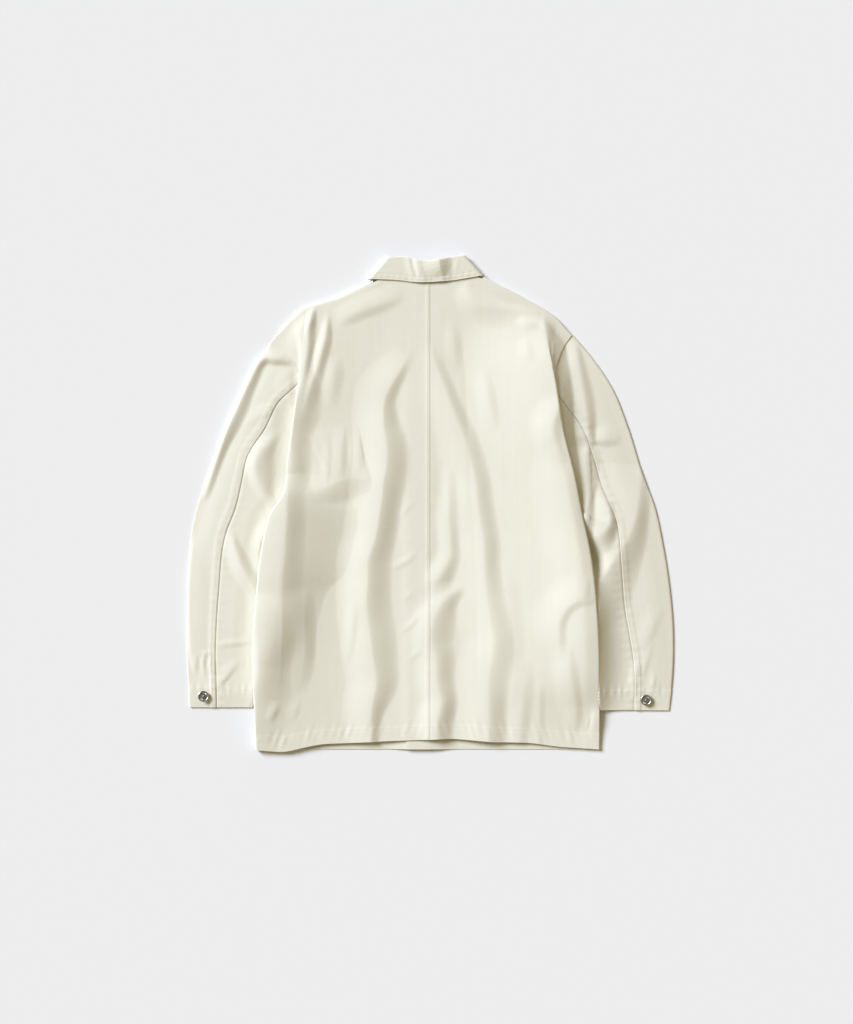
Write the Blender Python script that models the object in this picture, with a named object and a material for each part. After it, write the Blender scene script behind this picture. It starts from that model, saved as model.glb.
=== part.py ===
"""Chore jacket of ecru cotton twill, laid on its front with the sleeves drawn down beside the body.

The back is up.  +X is the wearer's right, +Y points to the collar and +Z up; the origin lies on the floor
under the middle of the back.  Shape tables are in millimetres; the meshes are in metres.
Cloth panels are patches between their cut edges, lifted by the folds that run through them.
"""

import bmesh
import bpy
import numpy as np
from mathutils import Matrix

MM = 0.001

# ---- driving dimensions, in millimetres -------------------------------------------------------------
CLOTH = 1.2              # wall of every cloth piece
SEAM = 0.3               # space between two pieces at a seam
HALF = CLOTH / 2
LAYER = 1.6              # rise from one lying layer to the next, middle to middle
SLEEVE_ROLL = 3.0        # radius of the sleeve's two long folds
SLEEVE_TOP = HALF + 2 * SLEEVE_ROLL
OVER_SLEEVE = SLEEVE_TOP + 2.0
LOFT = 7.6               # height of the back where it lies over the closed fronts
NECK_HEIGHT = 9.0        # height of the back at the neck seam
COLLAR_TURN = 2.6        # space between the collar's stand and its fall
HEM_Y = -392.0
NECK_SHARE = 0.45        # part of a back panel's width that the neck takes
EDGE_SHARE = 0.66        # place along the shoulder where the side fold runs out
SHOULDER_TURN = 8.0      # strip of the back that passes over the shoulder to the seam
ARMHOLE_LAP = 3.0        # tuck of the sleeve under the back's armhole edge
CENTRE_FRONT = -18.0
FRONT_EDGE = {-1: 2.0, 1: -38.0}     # the two front edges, lapped under the centre
FRONT_NECK_SHARE = 0.36  # part of a front's width that its neck edge takes
UNDERARM_SHARE = 0.63    # underarm's place between the hem and the shoulder, up the side
FOREARM_GIRTH = -0.86    # forearm seam's place round the sleeve, near its hidden inner fold
SEAM_GIRTH = 0.0012      # half the space at a sleeve seam, as a share of the half girth
BUTTON_WIDTH = 17.5
BUTTON_CAP = 2.4
PLACKET_RISE = 3.0       # the buttoned strip lies on its buttons
PLACKET_HALF = 12.0      # level part of that strip, either side of the centre front
PLACKET_SLOPE = 38.0

ECRU = (0.80, 0.77, 0.66)
STEEL = (0.42, 0.41, 0.38)


# ---- reading tables ---------------------------------------------------------------------------------
def ease(t):
    """0 to 1 with level ends."""
    t = np.clip(t, 0.0, 1.0)
    return t * t * (3.0 - 2.0 * t)


def smooth_read(knots, values, at):
    """A smooth line through values at rising knots."""
    at = np.clip(at, knots[0], knots[-1])
    slopes = np.gradient(values, knots)
    i = np.clip(np.searchsorted(knots, at, side="right") - 1, 0, len(knots) - 2)
    step = knots[i + 1] - knots[i]
    t = (at - knots[i]) / step
    return ((1 + 2 * t) * (1 - t) ** 2 * values[i] + t * (1 - t) ** 2 * step * slopes[i]
            + t * t * (3 - 2 * t) * values[i + 1] - t * t * (1 - t) * step * slopes[i + 1])


class Table:
    """Named columns over a first column of rising stations."""

    def __init__(self, columns, *rows):
        self.names = columns
        self.data = np.array(sorted(rows), float)

    def at(self, column, station):
        return smooth_read(self.data[:, 0], self.data[:, self.names.index(column)], station)


class Path:
    """A smooth plan line through (x, y) points, read by the share of its length."""

    def __init__(self, *points):
        self.points = np.array(points, float)
        steps = np.hypot(*np.diff(self.points, axis=0).T)
        self.shares = np.concatenate(([0.0], np.cumsum(steps))) / steps.sum()

    def at(self, share):
        return np.stack([smooth_read(self.shares, self.points[:, i], share) for i in (0, 1)], axis=-1)


def patch(bottom, top, left, right, across, up):
    """The plan point of a panel between its four edges."""
    f, w = across[..., None], up[..., None]
    corner = [edge(np.array(end)) for edge, end in ((bottom, 0.0), (bottom, 1.0), (top, 0.0), (top, 1.0))]
    ruled = (1 - w) * bottom(across) + w * top(across) + (1 - f) * left(up) + f * right(up)
    return ruled - ((1 - w) * ((1 - f) * corner[0] + f * corner[1])
                    + w * ((1 - f) * corner[2] + f * corner[3]))


# ---- outlines ---------------------------------------------------------------------------------------
class Side:
    """The cut edges of one half of the jacket; sign is -1 for the wearer's left and 1 for the right."""

    def __init__(self, sign, **paths):
        self.sign = sign
        self.__dict__.update(paths)


LEFT = Side(
    -1,
    hem=Path((0, -376), (-72, -379), (-138, -382), (-176, -384), (-203, -389), (-230, -395), (-278, -393)),
    fold_edge=Path((-278, -393), (-280, -333), (-283, -226), (-277, -150), (-272, -98), (-264, -50),
                   (-253, -13), (-237, 10), (-227, 74), (-219, 131), (-208, 218), (-205, 254), (-200, 309)),
    side_seam=Path((-258, -392), (-258, -226), (-250, -120), (-228, -50), (-172, 46)),
    back_armhole=Path((-172, 46), (-190, 66), (-199, 110), (-202, 165), (-211, 218), (-229, 250), (-241, 270)),
    front_armhole=Path((-172, 46), (-186, 62), (-192, 100), (-192, 145), (-197, 195), (-212, 238)),
    neck=Path((0, 362), (-45, 362), (-75, 361), (-90, 354)),
    shoulder=Path((-90, 354), (-109, 344), (-141, 328), (-171, 319), (-184, 315), (-200, 309),
                  (-219, 295), (-241, 270)),
    front_neck=Path((2, 284), (-30, 288), (-58, 300), (-76, 322), (-88, 345)),
    sleeve_outer=Path((-244.3, 272), (-280, 222), (-301, 179), (-328, 115), (-349, 67), (-368, 10),
                      (-381, -45), (-387, -118), (-389, -226), (-384, -325)),
    sleeve_inner=Path((-172, 46), (-171, -30), (-188, -110), (-222, -200), (-258, -270), (-284, -325)),
)
RIGHT = Side(
    1,
    hem=Path((0, -376), (29, -375), (64, -377), (102, -380), (162, -382), (200, -387), (270, -392)),
    fold_edge=Path((270, -392), (270, -306), (269, -226), (266, -173), (261, -118), (253, -66),
                   (245, -13), (229, 51), (213, 115), (200, 202), (192, 260), (184, 306)),
    side_seam=Path((250, -392), (250, -226), (241, -120), (218, -50), (164, 46)),
    back_armhole=Path((164, 46), (181, 66), (189, 110), (192, 165), (199, 215), (211, 247), (225, 268)),
    front_armhole=Path((164, 46), (177, 62), (183, 100), (182, 145), (186, 195), (198, 235)),
    neck=Path((0, 362), (40, 363), (68, 365), (84, 360)),
    shoulder=Path((84, 360), (108, 347), (148, 326), (184, 306), (205, 289), (225, 268)),
    front_neck=Path((-38, 284), (24, 288), (52, 300), (70, 322), (82, 350)),
    sleeve_outer=Path((228.2, 270.3), (259, 234), (291, 186), (317, 122), (339, 51), (360, -6), (373, -66),
                      (383, -130), (388.8, -198), (388, -269), (382, -330)),
    sleeve_inner=Path((164, 46), (163, -30), (181, -110), (214, -200), (248, -270), (268, -329)),
)

# height of the back along its side folds
SIDE_HEIGHT = {
    -1: Table(("y", "height"), (-393, 9), (-335, 15), (-226, 20), (-100, 23), (-20, 22), (60, 19), (131, 18),
              (218, 18), (262, 15), (309, 8)),
    1: Table(("y", "height"), (-393, 9), (-335, 16), (-226, 19), (-100, 19), (-20, 20), (60, 22), (131, 25),
             (218, 25), (262, 19), (306, 8)),
}

# ---- folds ------------------------------------------------------------------------------------------
FOLD = ("x", "y", "height", "left", "right")     # left and right: how far each slope reaches
BACK_FOLDS = {
    "left_drape": ((-27, 243, 0, 18, 20), (-51, 211, 6, 24, 24), (-72, 179, 11, 28, 28),
                   (-70, 115, 12, 28, 28), (-66, 62, 10, 28, 26), (-80, -13, 12, 30, 28),
                   (-91, -86, 14, 32, 28), (-94, -146, 13, 34, 28), (-86, -226, 11, 34, 28),
                   (-85, -294, 10, 30, 26), (-93, -358, 8, 26, 24), (-97, -388, 7, 24, 22)),
    "right_drape": ((0, 258, 0, 26, 12), (26, 195, 4, 40, 18), (45, 154, 7, 42, 19),
                    (64, 94, 8, 44, 20), (77, 42, 8, 44, 20), (85, -13, 8, 42, 20),
                    (88, -93, 9, 42, 20), (93, -162, 9, 40, 22), (104, -214, 9, 40, 22),
                    (101, -278, 9, 38, 22), (98, -358, 7, 34, 20), (97, -390, 6, 30, 18)),
    "centre_drape": ((29, -90, 0, 14, 14), (16, -138, 4, 18, 22), (10, -218, 6, 18, 22),
                     (18, -282, 7, 18, 20), (21, -338, 7, 18, 20), (25, -385, 6, 18, 18)),
    "left_side_swell": ((-208, 100, 0, 20, 40), (-222, 40, 3, 20, 60), (-229, -10, 7, 22, 95),
                        (-236, -74, 8, 24, 100), (-236, -160, 6, 26, 75), (-254, -250, 5, 20, 70),
                        (-262, -330, 2, 14, 50)),
    "left_shoulder_dip": ((-181, 312, -1, 14, 14), (-187, 268, -5, 16, 16), (-194, 205, -5, 16, 16),
                          (-202, 140, 0, 14, 14)),
    "left_shoulder_ridge": ((-163, 312, 0, 14, 16), (-170, 262, 4, 16, 18), (-178, 200, 4, 16, 20),
                            (-190, 130, 0, 14, 16)),
    "right_shoulder_swell": ((150, 290, 0, 40, 20), (178, 232, 3, 60, 20), (190, 150, 3, 60, 22),
                             (206, 60, 0, 50, 20)),
}


def fold_height(x, y, folds):
    """Sum of the ridges and troughs, each a soft slope either side of its line."""
    total = np.zeros_like(x)
    for rows in folds.values():
        data = np.array(rows, float)
        best = np.full(x.shape, 1e9)
        lift = np.zeros_like(x)
        for start, end in zip(data[:-1], data[1:]):
            run = end[:2] - start[:2]
            share = np.clip(((x - start[0]) * run[0] + (y - start[1]) * run[1]) / (run @ run), 0, 1)
            off_x, off_y = x - start[0] - share * run[0], y - start[1] - share * run[1]
            away = np.hypot(off_x, off_y)
            height, left, right = (start[i] + share * (end[i] - start[i]) for i in (2, 3, 4))
            t = np.clip(away / np.where(off_x < 0, left, right), 0, 1)
            nearer = away < best
            best = np.where(nearer, away, best)
            lift = np.where(nearer, height * (1 - t * t) ** 2, lift)
        total += lift
    return total


# ---- heights of the layers --------------------------------------------------------------------------
def inner_reach(side, y):
    """How far out the sleeve's hidden inner fold lies at a height."""
    knots = side.sleeve_inner.points[::-1]
    return side.sign * smooth_read(knots[:, 1], knots[:, 0], y)


def floor_layer(side, x, y):
    """Middle of the fronts, the lowest layer of the body."""
    reach = inner_reach(side, y)
    beside = ease((side.sign * x - reach + 42) / 28)
    along = ease((142 - y) / 40) * ease((y + 390) / 58)
    over_sleeve = (OVER_SLEEVE - HALF) * beside * along
    near_neck = ease((y - 212) / 18) * ease((118 - np.abs(x)) / 16)
    over_collar = (COLLAR_TURN + 0.2) * near_neck
    aside = np.abs(x - CENTRE_FRONT) - PLACKET_HALF
    over_buttons = PLACKET_RISE * ease(1 - aside / PLACKET_SLOPE) * ease((300 - y) / 20)
    return HALF + np.maximum(over_sleeve, np.maximum(over_collar, over_buttons))


def shoulder_height(x):
    """Top of the roll over the shoulder, from the neck to the armhole."""
    return NECK_HEIGHT + (OVER_SLEEVE - NECK_HEIGHT) * ease((np.abs(x) - 95) / 90)


def edge_reach(side, y):
    knots = side.fold_edge.points
    return side.sign * smooth_read(knots[:, 1], knots[:, 0], y)


def top_reach(side, x):
    """Plan line of the neck and shoulder, as a height for each x."""
    line = np.concatenate((side.neck.points, side.shoulder.points[1:]))
    order = np.argsort(line[:, 0])
    return smooth_read(line[order, 0], line[order, 1], x)


def back_height(side, x, y):
    """Middle of the back panel above the floor."""
    edge = edge_reach(side, y)
    side_height = SIDE_HEIGHT[side.sign].at("height", y)
    outward = ease((side.sign * x - 0.42 * edge) / (0.56 * edge))
    body = LOFT + (side_height - LOFT) * outward + fold_height(x, y, BACK_FOLDS)
    fold_floor = np.where(side.sign * x > inner_reach(side, y) - 26, OVER_SLEEVE + 2 * LAYER, HALF + LAYER)
    fold_floor = np.where((y < 60) & (y > -350), fold_floor, HALF + 2 * LAYER)
    gap = body - fold_floor
    body = fold_floor + 0.5 * (gap + np.sqrt(gap * gap + 4.0))
    down = top_reach(side, x) - y
    return shoulder_height(x) + (body - shoulder_height(x)) * ease(down / (70 - 36 * outward))


# ---- the back ---------------------------------------------------------------------------------------
def shoulder_point(side, share):
    """A point of the shoulder line and the plan direction out of it."""
    point = side.shoulder.at(share)
    step = side.shoulder.at(np.minimum(share + 0.01, 1.0)) - side.shoulder.at(np.maximum(share - 0.01, 0.0))
    step /= np.linalg.norm(step, axis=-1, keepdims=True)
    out = np.stack([-step[..., 1], step[..., 0]], axis=-1)
    return point, out * np.sign(out[..., 1:2])


def back_top_edge(side, across):
    neck = side.neck.at(across / NECK_SHARE)
    shoulder = side.shoulder.at(EDGE_SHARE * (across - NECK_SHARE) / (1 - NECK_SHARE))
    return np.where((across <= NECK_SHARE)[..., None], neck, shoulder)


def seam_line(side, up):
    """Side seam from the hem to the underarm, then the back armhole up to the shoulder."""
    low = side.side_seam.at(up / UNDERARM_SHARE)
    high = side.back_armhole.at((up - UNDERARM_SHARE) / (1 - UNDERARM_SHARE))
    return np.where((up <= UNDERARM_SHARE)[..., None], low, high)


def back_main(side, across, up):
    sign = side.sign

    def fold_start(share):
        edge = side.fold_edge.at(share)
        return edge - np.stack([sign * side_roll(side, share), np.zeros_like(share)], axis=-1)

    def centre(share):
        return np.stack([np.full_like(share, sign * SEAM / 2), -376 + share * 738.0], axis=-1)

    point = patch(side.hem.at, lambda f: back_top_edge(side, f), centre, fold_start, across, up)
    point[..., 0] = sign * np.maximum(sign * point[..., 0], SEAM / 2)
    return point


def flap_height(side, up):
    """Middle of the strip that the back folds under, or out to the armhole."""
    seam = seam_line(side, up)
    edge = side.fold_edge.at(up)
    lying = np.maximum(floor_layer(side, seam[..., 0], seam[..., 1]),
                       floor_layer(side, edge[..., 0], edge[..., 1])) + LAYER + 0.6
    return lying + (OVER_SLEEVE - lying) * ease((up - 0.64) / 0.08)


def side_roll(side, up):
    edge = side.fold_edge.at(up)
    rise = SIDE_HEIGHT[side.sign].at("height", edge[..., 1]) - flap_height(side, up)
    return np.clip(rise / 2, 0.4, 9.0)


def back_place(side, across, up):
    """Point of the back; across 0..1 lies on top, 1..2 is the side fold and 2..3 the strip beyond it.
    up 0..1 is hem to shoulder, 1..2 turns over the shoulder and 2..3 is the strip below it."""
    sign = side.sign
    rise = np.minimum(up, 1.0)
    main = back_main(side, np.minimum(across, 1.0), rise)
    height = back_height(side, main[..., 0], main[..., 1])
    point = np.concatenate([main, height[..., None]], axis=-1)

    # side fold: under the body, and outwards where the shoulder begins
    roll = side_roll(side, rise)
    seam = seam_line(side, rise)
    span = sign * (seam[..., 0] - main[..., 0])
    low = flap_height(side, rise)
    fall = (height - low) * (1 - ease(np.abs(span) / 12))
    reach = 0.6 * np.maximum(span, 0)
    turn_x = main[..., 0] + sign * reach
    turn_y = main[..., 1] + (seam[..., 1] - main[..., 1]) * 0.3
    round_bow = 4 / 3 * roll * ease((6 - span) / 12)
    hook = 4 / 3 * roll * ease(-span / 10)
    level = np.zeros_like(roll)
    t = np.clip(across - 1, 0, 1)[..., None]
    start = point
    second = start + np.stack([sign * (round_bow + reach / 2), level, level], axis=-1)
    end = np.stack([turn_x, turn_y, low + 0.4 * fall], axis=-1)
    third = end + np.stack([sign * (hook - reach / 2), level, 0.3 * fall], axis=-1)
    curve = (1 - t) ** 3 * start + 3 * t * (1 - t) ** 2 * second + 3 * t * t * (1 - t) * third + t ** 3 * end
    t = np.clip(across - 2, 0, 1)[..., None]
    last = np.concatenate([seam, low[..., None]], axis=-1)
    strip = end + (last - end) * t
    folded = np.where((across < 2)[..., None], curve, strip)
    # the top row follows the shoulder line
    along = EDGE_SHARE + (1 - EDGE_SHARE) * np.clip((across - 1) / 2, 0, 1)
    outline = side.shoulder.at(along)
    hold = ease((rise - 0.9) / 0.1)[..., None]
    folded = np.concatenate([folded[..., :2] + (outline - folded[..., :2]) * hold, folded[..., 2:]], axis=-1)
    point = np.where((across > 1)[..., None], folded, point)

    # over the shoulder
    share = np.where(across <= 1, EDGE_SHARE * np.clip((across - NECK_SHARE) / (1 - NECK_SHARE), 0, 1), along)
    base, out = shoulder_point(side, share)
    top = shoulder_height(base[..., 0])
    under = base - out * SHOULDER_TURN
    bottom = floor_layer(side, under[..., 0], under[..., 1])
    radius = (top - bottom) / 2
    angle = np.pi * np.clip(up - 1, 0, 1)
    reach = radius * np.sin(angle) - SHOULDER_TURN * np.clip(up - 2, 0, 1)
    plan = base + out * reach[..., None]
    turned = np.concatenate([plan, (bottom + radius * (1 + np.cos(angle)))[..., None]], axis=-1)
    return np.where((up > 1)[..., None], turned, point)


# ---- the fronts -------------------------------------------------------------------------------------
def front_place(side, across, up):
    """Point of a front; across 0..1 spans the neck and 1..2 the shoulder, up 0..1 is hem to top."""
    sign = side.sign
    front_edge = FRONT_EDGE[sign]
    neck, shoulder = FRONT_NECK_SHARE, 1 - FRONT_NECK_SHARE
    f = np.where(across < 1, across * neck, neck + (across - 1) * shoulder)

    def top(share):
        low = side.front_neck.at(share / neck)
        base, out = shoulder_point(side, np.clip((share - neck) / shoulder, 0, 1))
        return np.where((share <= neck)[..., None], low, base - out * (SHOULDER_TURN + SEAM))

    def outer(share):
        above = share - UNDERARM_SHARE
        low = side.side_seam.at(share / UNDERARM_SHARE) - np.array([sign * SEAM, 0.0])
        high = Path(*side.front_armhole.points, top(np.array(1.0))).at(above / (1 - UNDERARM_SHARE))
        return low + (high - low) * ease((above + 0.06) / 0.12)[..., None]

    def hem(share):
        end = side.side_seam.points[0, 0] - sign * SEAM
        return np.stack([front_edge + share * (end - front_edge), HEM_Y + 0 * share], axis=-1)

    def centre(share):
        top_y = side.front_neck.points[0, 1]
        return np.stack([front_edge + 0 * share, HEM_Y + share * (top_y - HEM_Y)], axis=-1)

    plan = patch(hem, top, centre, outer, f, up)
    height = floor_layer(side, plan[..., 0], plan[..., 1])
    if sign > 0:
        height = height + (LAYER + 0.5) * ease((46 - plan[..., 0]) / 34)
    return np.concatenate([plan, height[..., None]], axis=-1)


# ---- the sleeves ------------------------------------------------------------------------------------
HINDARM = {
    -1: Table(("down", "girth"), (0.0, 0.34), (0.075, 0.285), (0.12, 0.25), (0.2, 0.235), (0.3, 0.195),
              (0.37, 0.23), (0.43, 0.25), (0.51, 0.24), (0.63, 0.265), (0.82, 0.325), (1.0, 0.425)),
    1: Table(("down", "girth"), (0.0, 0.38), (0.095, 0.34), (0.13, 0.32), (0.27, 0.295), (0.34, 0.305),
             (0.44, 0.29), (0.56, 0.355), (0.69, 0.425), (0.88, 0.455), (1.0, 0.487)),
}
SLEEVE_FOLDS = {
    -1: {
        "upper_crease": ((-221, 230, -1, 8, 10), (-260, 222, -4, 12, 14), (-290, 186, -4, 12, 14),
                         (-312, 138, -3, 10, 12), (-340, 60, -2, 10, 10), (-350, 10, 0, 8, 8)),
        "elbow_wedge": ((-250, 110, -1, 10, 14), (-268, 60, -4, 14, 18), (-262, 10, -4, 14, 14),
                        (-262, -30, 0, 10, 10)),
        "forearm_wedge": ((-318, -50, 0, 8, 10), (-296, -100, -4, 12, 14), (-282, -150, -3, 12, 12)),
    },
    1: {
        "upper_ridge": ((232, 250, 0, 8, 10), (242, 200, 4, 10, 16), (250, 110, 5, 12, 18),
                        (252, 10, 2, 10, 12)),
        "elbow_hook": ((262, 70, 0, 8, 10), (285, -5, -3, 10, 10), (294, -40, -4, 10, 10),
                       (275, -80, -2, 10, 10)),
        "elbow_dip": ((340, 45, 0, 12, 10), (334, -25, -5, 20, 18), (322, -90, -6, 26, 24),
                      (304, -150, 0, 16, 16)),
        "elbow_ridge": ((318, 15, 0, 12, 10), (306, -50, 4, 14, 12), (284, -105, 2, 14, 12)),
    },
}


def sleeve_place(side, girth, down):
    """Point of a sleeve's tube; girth 0 is the outer fold, 1 the inner fold over the top, -1 under the
    floor side; down is 0 at the armhole and 1 at the cuff."""
    outer, inner = side.sleeve_outer.at(down), side.sleeve_inner.at(down)
    width = np.linalg.norm(outer - inner, axis=-1)
    quarter = np.pi * SLEEVE_ROLL / 2
    half_round = width - 2 * SLEEVE_ROLL + 2 * quarter
    gone = np.abs(girth) * half_round
    left = half_round - gone
    across = np.where(gone < quarter, SLEEVE_ROLL * (1 - np.cos(gone / SLEEVE_ROLL)),
                      np.where(left < quarter, width - SLEEVE_ROLL * (1 - np.cos(left / SLEEVE_ROLL)),
                               SLEEVE_ROLL + gone - quarter))
    turn = np.sin(np.clip(np.minimum(gone, left), 0, quarter) / SLEEVE_ROLL)
    share = across / width

    tip = side.sleeve_outer.points[0]

    def armhole_over(f):
        tuck = np.stack([side.sign * -ARMHOLE_LAP * ease(f / 0.12) * ease((1 - f) / 0.1), 0 * f], axis=-1)
        return Path(*side.back_armhole.points, tip).at(1 - f) + tuck

    def armhole_under(f):
        base, out = shoulder_point(side, np.array(1.0))
        line = Path(*side.front_armhole.points, base - out * (SHOULDER_TURN + SEAM), tip).at(1 - f)
        return line + np.stack([side.sign * 1.6 * ease(f / 0.04) * ease((1 - f) / 0.04), 0 * f], axis=-1)

    def cuff(f):
        ends = side.sleeve_outer.points[-1], side.sleeve_inner.points[-1]
        return ends[0] + (ends[1] - ends[0]) * f[..., None]

    def tube(mouth):
        return patch(mouth, cuff, side.sleeve_outer.at, side.sleeve_inner.at, share, down)

    plan = np.where((girth >= 0)[..., None], tube(armhole_over), tube(armhole_under))
    height = HALF + SLEEVE_ROLL + np.where(girth >= 0, 1, -1) * SLEEVE_ROLL * turn
    clear = side.sign * plan[..., 0] - edge_reach(side, plan[..., 1])
    shown = ease((clear - 14) / 26) * ease(down / 0.12) * ease((0.93 - down) / 0.2) * ease(gone / 30)
    crown = 6.0 * shown + fold_height(plan[..., 0], plan[..., 1], SLEEVE_FOLDS[side.sign]) * shown
    height = height + np.where(girth >= 0, crown, 0.0) * turn
    return np.concatenate([plan, height[..., None]], axis=-1)


def top_sleeve_place(side, across, down):
    """Point of the top sleeve; across 0..1 is hindarm seam to outer fold, 1..2 on to the forearm seam."""
    seam = HINDARM[side.sign].at("girth", down) - SEAM_GIRTH
    end = FOREARM_GIRTH + SEAM_GIRTH
    return sleeve_place(side, np.where(across < 1, seam * (1 - across), end * (across - 1)), down)


def under_sleeve_place(side, across, down):
    """Point of the under sleeve; across 0..1 is hindarm seam to inner fold, 1..2 on to the forearm seam."""
    seam = HINDARM[side.sign].at("girth", down) + SEAM_GIRTH
    end = FOREARM_GIRTH - SEAM_GIRTH
    girth = np.where(across < 1, seam + (1 - seam) * across, -1 + (1 + end) * (across - 1))
    return sleeve_place(side, girth, down)


# ---- the collar -------------------------------------------------------------------------------------
COLLAR_TOP = NECK_HEIGHT + COLLAR_TURN
COLLAR_SEAM = {-1: Path((0, 362.6), (-45, 362.6), (-72, 363.5), (-85, 362)),
               1: Path((0, 362.6), (38, 363.6), (64, 367.5), (80, 366))}
COLLAR_CREST = {-1: Path((0, 388), (-27, 391), (-42, 395), (-69, 394)),
                1: Path((0, 388), (14, 390), (40, 395), (56, 397))}
COLLAR_EDGE = {-1: Path((0, 354), (-24, 354), (-53, 357), (-99, 359)),
               1: Path((0, 354), (40, 357), (67, 361), (85, 364))}
COLLAR_ENDS = {"seam": (15, 290.5), "crest": (16, 303), "edge": (60, 236)}      # from the centre front
COLLAR_FOLDS = {
    "back_crease": ((-22, 396, 2.5, 16, 22), (-15, 375, 3.0, 18, 26), (-8, 354, 0.8, 16, 22)),
    "back_dimple": ((34, 396, -1.5, 12, 12), (27, 381, -2.0, 14, 12), (22, 366, 0, 12, 12)),
}


def collar_level(line, end, sign, along, inset):
    """Plan line of one level of the collar: the back, then the leaf under the front."""
    corner = line.points[-1] - np.array([sign * inset, 0])
    share = np.clip(along, 0, 1)
    back = line.at(share) - np.stack([sign * inset * ease(share), 0 * share], axis=-1)
    tip = np.array([CENTRE_FRONT + sign * end[0], end[1]])
    bend = corner + (tip - corner) * np.array([0.15, 0.45])
    leaf = Path(corner, bend, tip).at(np.clip(along - 2, 0, 1))
    return np.where((along > 2)[..., None], leaf, back)


def collar_place(side, along, turn):
    """Point of half the collar; along 0..1 is the back, 1..2 the bend at the neck's side and 2..3 the
    leaf under the front; turn 0..1 climbs the stand, 1..2 rolls over and 2..3 is the fall."""
    sign = side.sign
    big = (COLLAR_TOP - HALF) / 2
    seam, crest, edge = (collar_level(line[sign], COLLAR_ENDS[name], sign, along, big) for line, name in
                         ((COLLAR_SEAM, "seam"), (COLLAR_CREST, "crest"), (COLLAR_EDGE, "edge")))
    climb, over, fall = (np.clip(turn - k, 0, 1)[..., None] for k in (0, 1, 2))
    crest = crest + (seam - crest) * 0.06
    plan = seam + (crest - seam) * climb
    ahead = (crest - seam) / np.linalg.norm(crest - seam, axis=-1, keepdims=True)
    plan = plan + ahead * np.sin(np.pi * over) * COLLAR_TURN / 2
    plan = plan + (edge - plan) * fall
    depth = COLLAR_TURN * (1 + np.cos(np.pi * over[..., 0])) / 2
    bend = np.pi * np.clip(along - 1, 0, 1)
    radius = big - depth
    lift = fold_height(plan[..., 0], plan[..., 1], COLLAR_FOLDS) * ease(turn / 2) * (bend == 0)
    height = HALF + big + radius * np.cos(bend) + lift
    return np.stack([plan[..., 0] + sign * radius * np.sin(bend), plan[..., 1], height], axis=-1)


# ---- the buttons ------------------------------------------------------------------------------------
CUFF_BUTTONS = {"cuff_button_left": (-362, -307, 8), "cuff_button_right": (345, -313, 0)}      # x, y, tilt
FRONT_BUTTONS = 5
FRONT_BUTTON_TOP = 266
FRONT_BUTTON_STEP = 127
BUTTON_PROFILE = ((0.0, 1.9), (0.34, 1.6), (0.62, 1.6), (0.8, 2.4), (0.96, 2.2), (1.0, 1.4), (0.88, 0.6),
                  (0.34, 0.35), (0.34, 0.0), (0.0, 0.0))       # share of the radius, height


def button(name, x, y, low, tilt, facing, material):
    """A turned metal button with a raised rim and a boss; facing is 1 up and -1 down."""
    disc = bmesh.new()
    ring = [disc.verts.new((r * BUTTON_WIDTH / 2 * MM, 0, z * MM)) for r, z in BUTTON_PROFILE]
    edges = [disc.edges.new(pair) for pair in zip(ring[:-1], ring[1:])]
    bmesh.ops.spin(disc, geom=ring + edges, cent=(0, 0, 0), axis=(0, 0, 1), angle=2 * np.pi, steps=16,
                   use_merge=True)
    bmesh.ops.remove_doubles(disc, verts=disc.verts[:], dist=1e-6)
    bmesh.ops.recalc_face_normals(disc, faces=disc.faces[:])
    turn = Matrix.Rotation(0 if facing > 0 else np.pi, 4, "X") @ Matrix.Rotation(np.radians(tilt), 4, "Y")
    drop = low if facing > 0 else low + BUTTON_CAP
    move = Matrix.Translation((x * MM, y * MM, drop * MM))
    bmesh.ops.transform(disc, matrix=move @ turn, verts=disc.verts[:])
    return finish(name, disc, material)


# ---- making meshes ----------------------------------------------------------------------------------
def spaced(*runs):
    """Stations in runs: (start, end, number of steps)."""
    first = [runs[0][0]]
    return np.concatenate([first] + [np.linspace(start, end, steps + 1)[1:] for start, end, steps in runs])


def cloth_piece(name, place, columns, rows, material, keep=None):
    """A wall of cloth through a grid of stations, as one closed solid."""
    sheet = bmesh.new()
    bmesh.ops.create_grid(sheet, x_segments=len(columns) - 1, y_segments=len(rows) - 1, size=1.0)
    if keep is not None:
        gone = []
        for face in sheet.faces:
            middle = face.calc_center_median()
            column = np.interp((middle.x + 1) / 2 * (len(columns) - 1), np.arange(len(columns)), columns)
            row = np.interp((middle.y + 1) / 2 * (len(rows) - 1), np.arange(len(rows)), rows)
            if not keep(column, row):
                gone.append(face)
        bmesh.ops.delete(sheet, geom=gone, context="FACES")
    sheet.verts.ensure_lookup_table()
    grid = np.array([v.co[:2] for v in sheet.verts])
    column = np.rint((grid[:, 0] + 1) / 2 * (len(columns) - 1)).astype(int)
    row = np.rint((grid[:, 1] + 1) / 2 * (len(rows) - 1)).astype(int)
    middle = place(columns[column], rows[row])
    spot = sheet.verts.layers.int.new("spot")
    for i, v in enumerate(sheet.verts):
        v.co = middle[i]
        v[spot] = i + 1
    sheet.normal_update()
    normal = np.array([v.normal[:] for v in sheet.verts])
    lower, upper = (middle - normal * HALF) * MM, (middle + normal * HALF) * MM
    made = bmesh.ops.extrude_face_region(sheet, geom=sheet.faces[:])
    fresh = {v for v in made["geom"] if isinstance(v, bmesh.types.BMVert)}
    for v in sheet.verts:
        v.co = upper[v[spot] - 1] if v in fresh else lower[v[spot] - 1]
    bmesh.ops.recalc_face_normals(sheet, faces=sheet.faces[:])
    return finish(name, sheet, material)


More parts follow.
